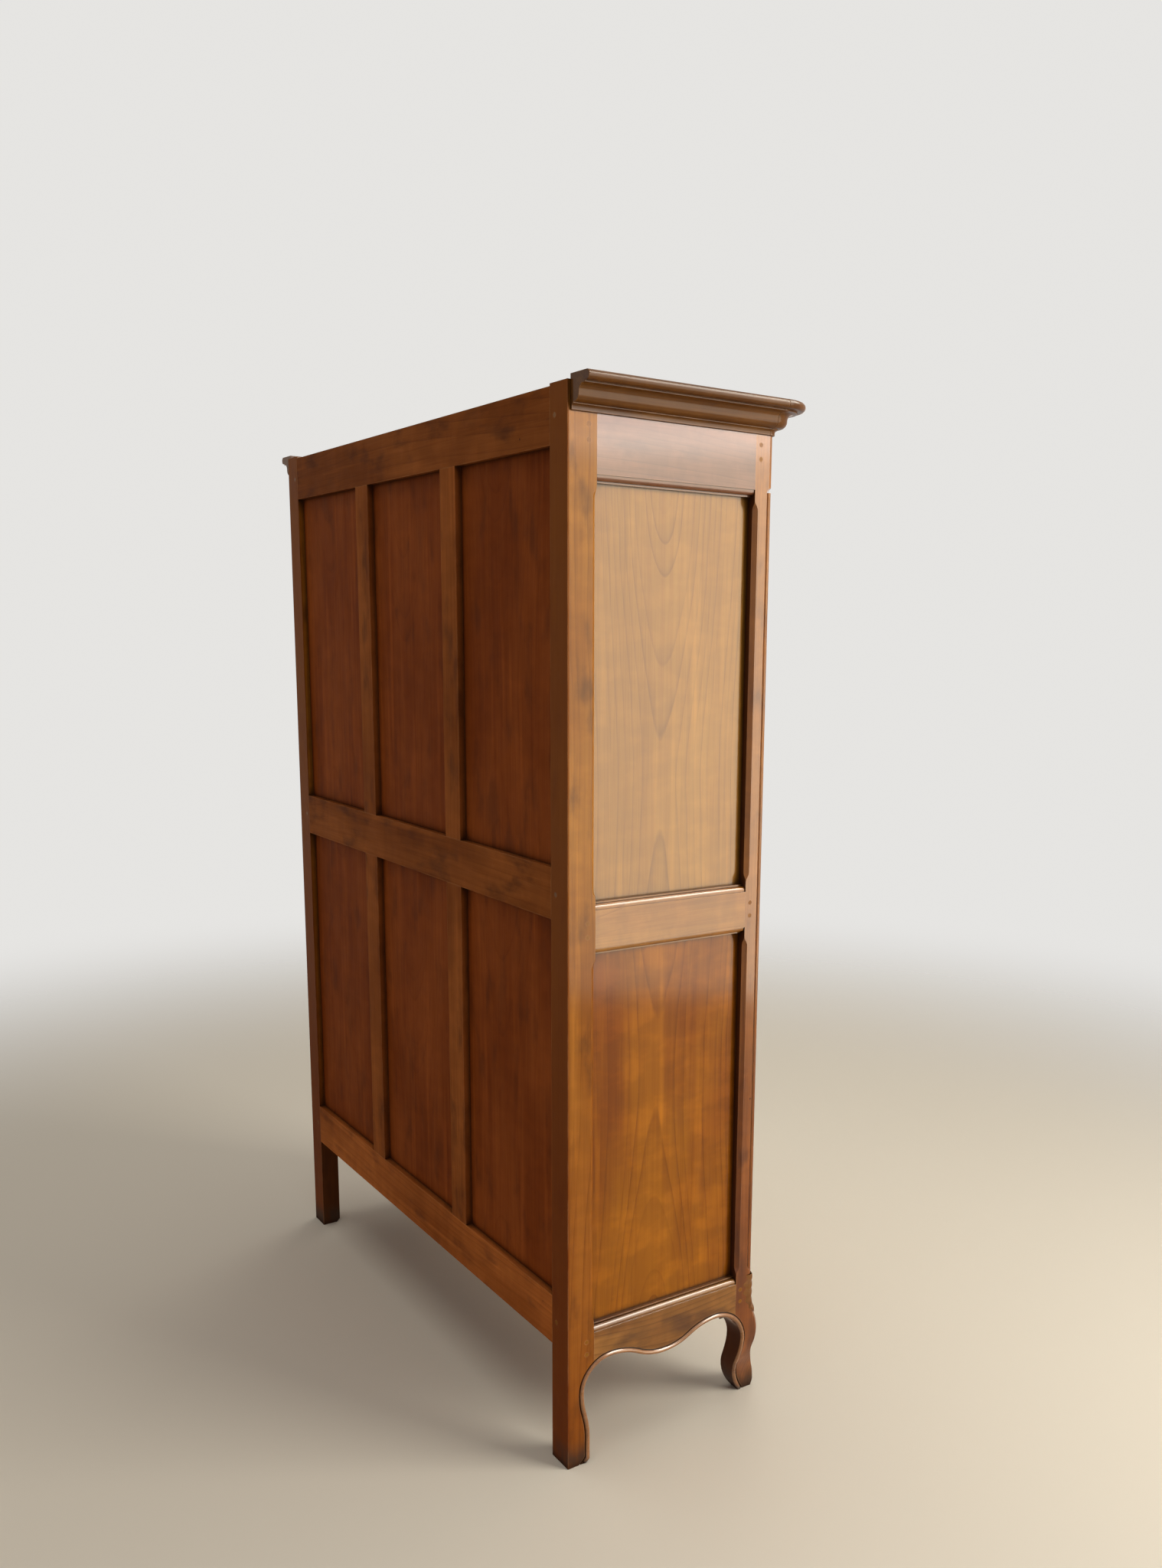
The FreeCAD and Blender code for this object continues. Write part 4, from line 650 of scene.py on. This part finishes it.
# %% Lower arrises of a part
# Where the lower arris lies, and how its two faces stand.
BEAD_HIGHEST, WAIST_HIGH, FLOOR_EDGE, OUTER_LEAST = 0.21, 0.15, 0.004, 0.595
UNDERSIDE_DEEP, OUTWARD_LEAST, SIDEWAYS_MOST = 0.018, 0.85, 0.45
UPRIGHT, PEG_ROUND, OPENING_LEAN = 0.0001, 0.03, 0.1


def long_chains(edges):
    # Short chains are the rims of peg holes.
    left, found = set(edges), set()
    while left:
        chain, ends = [], [left.pop()]
        while ends:
            edge = ends.pop()
            chain.append(edge)
            near = {other for vert in edge.verts for other in vert.link_edges} & left
            left -= near
            ends += near
        if sum(edge.calc_length() for edge in chain) > PEG_ROUND:
            found.update(chain)
    return [edge for edge in edges if edge in found]


def lower_arris(node, side, faces_opening):
    shape = merged(node)
    lower = {}
    for edge in shape.edges:
        if len(edge.link_faces) != 2:
            continue
        outer, under = sorted(edge.link_faces, key=lambda face: -face.normal.x * side)
        reach = [vert.co.x for vert in under.verts]
        heights = [vert.co.z for vert in edge.verts]
        is_outer = outer.normal.x * side > OUTWARD_LEAST and abs(under.normal.x) < SIDEWAYS_MOST
        is_outer = is_outer and min(vert.co.x * side for vert in edge.verts) > OUTER_LEAST
        run = abs(edge.verts[0].co.y - edge.verts[1].co.y)
        is_shoulder = min(heights) > WAIST_HIGH and run < UPRIGHT
        is_low = FLOOR_EDGE < max(heights) < BEAD_HIGHEST
        is_deep = max(reach) - min(reach) > UNDERSIDE_DEEP
        is_lower = is_outer and is_low and is_deep and not is_shoulder
        if is_lower and faces_opening(under.normal):
            lower[edge] = (outer.normal.copy(), under.normal.copy())
    points = {}
    for edge in long_chains(lower):
        for vert in edge.verts:
            entry = points.setdefault(vert, [vert.co.copy(), Vector(), Vector()])
            entry[1] += lower[edge][0]
            entry[2] -= lower[edge][1]
    found = list(points.values())
    shape.free()
    return found


arris = lower_arris("side_apron_left", ENDS["_left"], lambda way: way.z < -OPENING_LEAN)
print("lower arris of the left apron:", len(arris), "points")

# %% Bead swept along the lower arrises
BEAD_HALF, BEAD_PROUD, BEAD_SUNK, BEAD_STEPS = 0.0042, 0.0034, 0.0010, 14
SAME_POINT = 0.0008


def worked_on(node, name, shape, finish):
    mesh = bpy.data.meshes.new(name)
    shape.to_mesh(mesh)
    shape.free()
    mesh.shade_smooth()
    mesh.materials.append(finish)
    piece = bpy.data.objects.new(name, mesh)
    scene.collection.objects.link(piece)
    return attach(piece, BODY_OF[node])


def bead(end_name, side, finish):
    rear, apron, front = (part + end_name for part in ("rear_post", "side_apron", "front_post"))
    up_rear = lower_arris(rear, side, lambda way: way.y < OPENING_LEAN)
    forward = lower_arris(apron, side, lambda way: way.z < -OPENING_LEAN)
    down_front = lower_arris(front, side, lambda way: way.y > -OPENING_LEAN)
    walk = sorted(up_rear, key=lambda point: point[0].z)
    walk += sorted(forward, key=lambda point: -point[0].y)
    walk += sorted(down_front, key=lambda point: -point[0].z)
    path = walk[:1]
    for point in walk[1:]:
        if (point[0] - path[-1][0]).length > SAME_POINT:
            path.append(point)
    shape = bmesh.new()
    rings = []
    for at, (place, outward, inward) in enumerate(path):
        along = (path[min(at + 1, len(path) - 1)][0] - path[max(at - 1, 0)][0]).normalized()
        inward = (inward - along * inward.dot(along)).normalized()
        outward = (outward - along * outward.dot(along) - inward * outward.dot(inward)).normalized()
        middle = place + inward * BEAD_HALF - outward * BEAD_SUNK
        ring = []
        for step in range(BEAD_STEPS):
            turn = 2.0 * math.pi * step / BEAD_STEPS
            rim = middle + inward * (BEAD_HALF * math.cos(turn))
            rim += outward * ((BEAD_PROUD + BEAD_SUNK) * math.sin(turn))
            rim.z = max(rim.z, 0.0)
            ring.append(shape.verts.new(rim))
        rings.append(ring)
    for before, after in zip(rings, rings[1:]):
        for step in range(BEAD_STEPS):
            further = (step + 1) % BEAD_STEPS
            shape.faces.new((before[step], before[further], after[further], after[step]))
    shape.faces.new(rings[0])
    shape.faces.new(rings[-1])
    bmesh.ops.recalc_face_normals(shape, faces=shape.faces)
    return worked_on(apron, "side_bead" + end_name, shape, finish)


beads = []
for number, (end_name, side) in enumerate(ENDS.items()):
    low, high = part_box("side_apron" + end_name)
    finish = wood_finish("side_bead" + end_name + "_wood", "deep", (low + high) / 2,
                         330.0 + 9.0 * number, "worn", 0.0075, 0.100, 0.05)
    beads.append(bead(end_name, side, finish))
print("beads:", [(roll.name, len(roll.data.vertices)) for roll in beads])

# %% [markdown]
# ## Carved knees
#
# A small leaf is carved on the outer corner of each front knee. A carver would draw the leaf on
# the bent wood, cut its rim and hollow the lobes. Here a fine grid takes the part of the chisel:
# each of its points is dropped on the knee along the diagonal and lifted by the height of the
# carving, and the rim is sunk a little so that no gap shows.

# %% Outline and height of the leaf
LEAF_TOP, LEAF_TIP, LEAF_HALF, LEAF_RISE = 0.262, 0.180, 0.021, 0.0060
LEAF_ROWS, LEAF_COLUMNS, LEAF_NARROWEST, LEAF_SUNK = 64, 28, 0.0004, 0.0006
LEAF_SHOULDER, SCALLOPS, SCALLOP_SHARE = 0.22, 4.5, 0.12
VEINS, VEIN_SLANT, VEIN_SHARE, GROOVE_HALF, GROOVE_SHARE = 5.0, 1.1, 0.40, 0.09, 0.45


def leaf_half(down):
    swell = LEAF_SHOULDER + (1.0 - LEAF_SHOULDER) * down
    body = math.sin(math.pi * swell) ** 0.75 if down < 1.0 else 0.0
    wave = math.cos(2.0 * math.pi * SCALLOPS * down)
    return LEAF_HALF * body * (1.0 - SCALLOP_SHARE + SCALLOP_SHARE * wave)


def leaf_rise(down, beside):
    crown = 1.0 - abs(beside) ** 2.6
    groove = math.exp(-(beside / GROOVE_HALF) ** 2)
    vein = 0.5 + 0.5 * math.cos(2.0 * math.pi * (VEINS * down - VEIN_SLANT * abs(beside)))
    lobe = 1.0 - VEIN_SHARE + VEIN_SHARE * vein * min(1.0, 2.0 * abs(beside))
    return LEAF_RISE * (crown * lobe - GROOVE_SHARE * groove * crown) - LEAF_SUNK


print("half widths in mm:", [round(1000 * leaf_half(down / 4), 1) for down in range(5)])

# %% Leaf on both front knees
CORNER_RAY, LEAF_RAY = 0.2, 0.10


def knee_corner(knee, side, middle, level):
    start = Vector((middle.x, middle.y, level))
    inward, backward = Vector((-side, 0.0, 0.0)), Vector((0.0, 1.0, 0.0))
    beside = knee.ray_cast(start - inward * CORNER_RAY, inward)[0]
    before = knee.ray_cast(start - backward * CORNER_RAY, backward)[0]
    return Vector((beside.x, before.y, level))


def leaf(side, post, finish):
    into = Vector((-side, 1.0, 0.0)).normalized()
    over = Vector((-side, -1.0, 0.0)).normalized()
    low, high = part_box(post)
    knee = BVHTree.FromObject(bpy.data.objects[post + "_eased"], bpy.context.evaluated_depsgraph_get())
    shape = bmesh.new()
    rows = []
    for row in range(LEAF_ROWS + 1):
        down = row / LEAF_ROWS
        corner = knee_corner(knee, side, (low + high) / 2, LEAF_TOP + (LEAF_TIP - LEAF_TOP) * down)
        line = []
        for column in range(LEAF_COLUMNS + 1):
            beside = 2.0 * column / LEAF_COLUMNS - 1.0
            above = corner + over * (beside * max(leaf_half(down), LEAF_NARROWEST)) - into * LEAF_RAY
            hit = knee.ray_cast(above, into)[0]
            line.append(shape.verts.new(hit - into * leaf_rise(down, beside)))
        rows.append(line)
    for upper, lower in zip(rows, rows[1:]):
        for at in range(LEAF_COLUMNS):
            shape.faces.new((upper[at], upper[at + 1], lower[at + 1], lower[at]))
    bmesh.ops.recalc_face_normals(shape, faces=shape.faces)
    shape.faces.ensure_lookup_table()
    if sum(face.normal.dot(into) for face in shape.faces) > 0.0:
        bmesh.ops.reverse_faces(shape, faces=shape.faces)
    return worked_on(post, post + "_leaf", shape, finish)


leaves = []
for number, (end_name, side) in enumerate(ENDS.items()):
    post = "front_post" + end_name
    low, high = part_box(post)
    finish = wood_finish(post + "_leaf_wood", "side", (low + high) / 2, 300.0 + 9.0 * number, "cherry",
                         0.0060, 0.090, 0.01, shade=0.85)
    leaves.append(leaf(side, post, finish))
print("leaves:", [carving.name for carving in leaves])

# %% [markdown]
# ## Doors
#
# The doors face away from the camera, but they are made with the same care: straight grained
# stiles, rails across, and a fielded panel below the glass, all from the same cherry.

# %% Door frames and panels
DOOR_CUTS = [
    ("hinge_stile", "back", (0.14, 0.2), 0.0060, 0.100, 0.01, "cherry"),
    ("meeting_stile", "back", (-0.14, -0.1), 0.0060, 0.100, 0.01, "cherry"),
    ("top_rail", "cross", (0.08, 0.0), 0.0070, 0.100, 0.15, "cherry"),
    ("middle_rail", "cross", (0.07, 0.1), 0.0070, 0.100, 0.20, "cherry"),
    ("bottom_rail", "cross", (-0.07, 0.0), 0.0070, 0.100, 0.20, "cherry"),
    ("panel", "back", (0.01, -0.05), 0.0090, 0.120, 0.60, "honey"),
    ("glazing_beads", "back", (0.12, 0.0), 0.0050, 0.090, 0.01, "cherry"),
]
for number, (part, run, beside, ring, depth, bow, tone) in enumerate(DOOR_CUTS):
    for end_number, door in enumerate(("door_left_", "door_right_")):
        node = door + part
        heart = heart_of(node, run, beside)
        board = 200.0 + 5.0 * number + 60.0 * end_number
        finish = wood_finish(node + "_wood", run, heart, board, tone, ring, depth, bow)
        if part == "panel":
            painted(node, finish)
        else:
            eased_parts.append(eased(node, finish))
print("eased:", len(eased_parts))

# %% [markdown]
# ## Brass, steel and glass
#
# The hinges and keyhole plates are brass that has gone brown where no hand touches it. The lock,
# key and bolts are dark steel with a little rust. Old window glass is clear, with a faint wave.

# %% Metal finish
def metal_finish(name, clean, dirty, rough, spread, rub):
    paint, tree = new_finish(name)
    place = add(tree, "TexCoord").outputs["Object"]
    cloud = noise(tree, place, (spread, spread, spread), 1.5, 5.0).outputs["Fac"]
    tarnish = ramp(tree, cloud, 0.38, 0.66)
    worn_and_shaded = placed(tree, WEAR_AND_SHADE, {"Colour": mixed(tree, tarnish, opaque(clean), opaque(dirty)), "Place": place,
                               "Board": 4.0, "Wear": rub, "Grime_and_Shade": 0.9})
    scratch = noise(tree, place, (900.0, 900.0, 60.0), 2.5, 2.0).outputs["Fac"]
    relief = add(tree, "Bump", {"Strength": 0.12, "Distance": 0.0002, "Height": scratch})
    shown(tree, add(tree, "BsdfPrincipled", {
        "Base Color": worn_and_shaded["Colour"], "Metallic": 1.0, "Normal": relief.outputs[0],
        "Roughness": sum_of(tree, "MULTIPLY_ADD", tarnish, 0.22, rough)}))
    return paint


BRASS = metal_finish("aged_brass", (0.62, 0.40, 0.14), (0.24, 0.13, 0.045), 0.24, 45.0, 0.5)
STEEL = metal_finish("dark_steel", (0.30, 0.28, 0.26), (0.10, 0.065, 0.045), 0.34, 60.0, 0.3)
print("metals:", BRASS.name, STEEL.name)

# %% Glass finish
def glass_finish(tint):
    paint, tree = new_finish("old_glass")
    place = add(tree, "TexCoord").outputs["Object"]
    swell = noise(tree, place, (9.0, 9.0, 5.0), 3.5, 1.0).outputs["Fac"]
    relief = add(tree, "Bump", {"Strength": 0.05, "Distance": 0.002, "Height": swell})
    haze = noise(tree, place, (3.0, 3.0, 3.0), 5.5, 3.0).outputs["Fac"]
    surface = add(tree, "BsdfPrincipled", {
        "Base Color": tint, "Transmission Weight": 1.0, "IOR": 1.45,
        "Roughness": ramp(tree, haze, 0.3, 0.7, 0.01, 0.06), "Normal": relief.outputs[0]})
    # Light falls through the pane, so that the shelves behind it are not in the dark.
    clear = add(tree, "BsdfTransparent", {"Color": tint})
    shadow = add(tree, "LightPath").outputs["Is Shadow Ray"]
    shown(tree, add(tree, "MixShader", {0: shadow, 1: surface.outputs[0], 2: clear.outputs[0]}))
    return paint


GLASS = glass_finish((0.93, 0.96, 0.94, 1))
print("glass:", GLASS.name)

# %% Metal and glass parts
METAL_NODES = {
    BRASS: ("door_left_hinge_halves", "door_right_hinge_halves", "post_hinge_halves", "door_left_plate",
            "door_right_plate"),
    STEEL: ("door_left_fittings", "lock_case", "lock_bolt", "key", "top_flush_bolt", "bottom_flush_bolt"),
    GLASS: ("door_left_glass", "door_right_glass"),
}
for finish, nodes in METAL_NODES.items():
    for node in nodes:
        painted(node, finish)
print("metal and glass:", sum(len(nodes) for nodes in METAL_NODES.values()))

# %% [markdown]
# ## Pins and screws
#
# The keyhole plates are nailed on with domed brass pins, and the lock is held by round headed
# screws. They repeat in straight rows, so a Geometry Nodes tree makes them: a line of points, a
# flattened ball on each point with a small turn of its own, and the finish.

# %% Geometry nodes: a row of domed heads
HEAD_SEGMENTS, HEAD_RINGS, HEAD_SHAPE = 20, 12, (1.0, 0.5, 1.0)
HEAD_LEAN, HEAD_TURN, HEAD_SEED = 0.06, 1.0, 5
PIN_ROW = bpy.data.node_groups.new("pin_row", "GeometryNodeTree")
PIN_INPUTS = {"Count": "NodeSocketInt", "First": "NodeSocketVector", "Step": "NodeSocketVector",
              "Radius": "NodeSocketFloat", "Finish": "NodeSocketMaterial"}
PIN_ROW.interface.new_socket("Geometry", in_out="INPUT", socket_type="NodeSocketGeometry")
SOCKETS = {name: PIN_ROW.interface.new_socket(name, in_out="INPUT", socket_type=kind).identifier
           for name, kind in PIN_INPUTS.items()}
PIN_ROW.interface.new_socket("Geometry", in_out="OUTPUT", socket_type="NodeSocketGeometry")
given = PIN_ROW.nodes.new("NodeGroupInput").outputs
line = PIN_ROW.nodes.new("GeometryNodeMeshLine")
ball = PIN_ROW.nodes.new("GeometryNodeMeshUVSphere")
ball.inputs["Segments"].default_value = HEAD_SEGMENTS
ball.inputs["Rings"].default_value = HEAD_RINGS
dome = PIN_ROW.nodes.new("GeometryNodeTransform")
dome.inputs["Scale"].default_value = HEAD_SHAPE
smooth = PIN_ROW.nodes.new("GeometryNodeSetShadeSmooth")
tilt = PIN_ROW.nodes.new("FunctionNodeRandomValue")
tilt.data_type = "FLOAT_VECTOR"
tilt.inputs["Min"].default_value = (-HEAD_LEAN, -HEAD_TURN, -HEAD_LEAN)
tilt.inputs["Max"].default_value = (HEAD_LEAN, HEAD_TURN, HEAD_LEAN)
tilt.inputs["Seed"].default_value = HEAD_SEED
heads = PIN_ROW.nodes.new("GeometryNodeInstanceOnPoints")
solid = PIN_ROW.nodes.new("GeometryNodeRealizeInstances")
coat = PIN_ROW.nodes.new("GeometryNodeSetMaterial")
result = PIN_ROW.nodes.new("NodeGroupOutput").inputs
for source, target in (
        (given["Count"], line.inputs["Count"]), (given["First"], line.inputs["Start Location"]),
        (given["Step"], line.inputs["Offset"]), (given["Radius"], ball.inputs["Radius"]),
        (ball.outputs["Mesh"], dome.inputs["Geometry"]), (dome.outputs[0], smooth.inputs["Geometry"]),
        (line.outputs["Mesh"], heads.inputs["Points"]), (smooth.outputs[0], heads.inputs["Instance"]),
        (tilt.outputs["Value"], heads.inputs["Rotation"]), (heads.outputs[0], solid.inputs[0]),
        (solid.outputs[0], coat.inputs["Geometry"]), (given["Finish"], coat.inputs["Material"]),
        (coat.outputs[0], result["Geometry"])):
    PIN_ROW.links.new(source, target)
print("group:", PIN_ROW.name, len(PIN_ROW.nodes), "nodes")

# %% Rows of pins and screws
def pin_row(name, holder, count, first, step, radius, finish):
    maker = bpy.data.objects.new(name + "_maker", bpy.data.meshes.new(name + "_maker"))
    scene.collection.objects.link(maker)
    rule = maker.modifiers.new("pins", "NODES")
    rule.node_group = PIN_ROW
    values = {"Count": count, "First": first, "Step": step, "Radius": radius, "Finish": finish}
    for label, value in values.items():
        rule[SOCKETS[label]] = value
    view = bpy.context.evaluated_depsgraph_get()
    mesh = bpy.data.meshes.new_from_object(maker.evaluated_get(view), depsgraph=view)
    bpy.data.objects.remove(maker)
    mesh.name = name
    row = bpy.data.objects.new(name, mesh)
    scene.collection.objects.link(row)
    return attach(row, BODY_OF[holder])


def on_face(node, front, inset_x, inset_z):
    # First pin of a row up a plate: its front or inner face, in from its edge.
    low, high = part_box(node)
    first = Vector((low.x + inset_x, low.y if front else high.y, low.z + inset_z))
    return first, high.z - low.z - 2 * inset_z


ROWS = [
    ("door_left_plate_pins", "door_left_plate", 3, True, 0.0130, 0.0095, 0.0027, BRASS),
    ("door_right_plate_pins", "door_right_plate", 3, True, 0.0130, 0.0095, 0.0027, BRASS),
    ("lock_screws_outer", "lock_case", 2, False, 0.0530, 0.0075, 0.0030, STEEL),
    ("lock_screws_inner", "lock_case", 2, False, 0.0080, 0.0075, 0.0030, STEEL),
]
for name, holder, count, front, inset_x, inset_z, radius, finish in ROWS:
    first, length = on_face(holder, front, inset_x, inset_z)
    row = pin_row(name, holder, count, first, Vector((0.0, 0.0, length / (count - 1))), radius, finish)
    print(row.name, len(row.data.polygons), "faces")
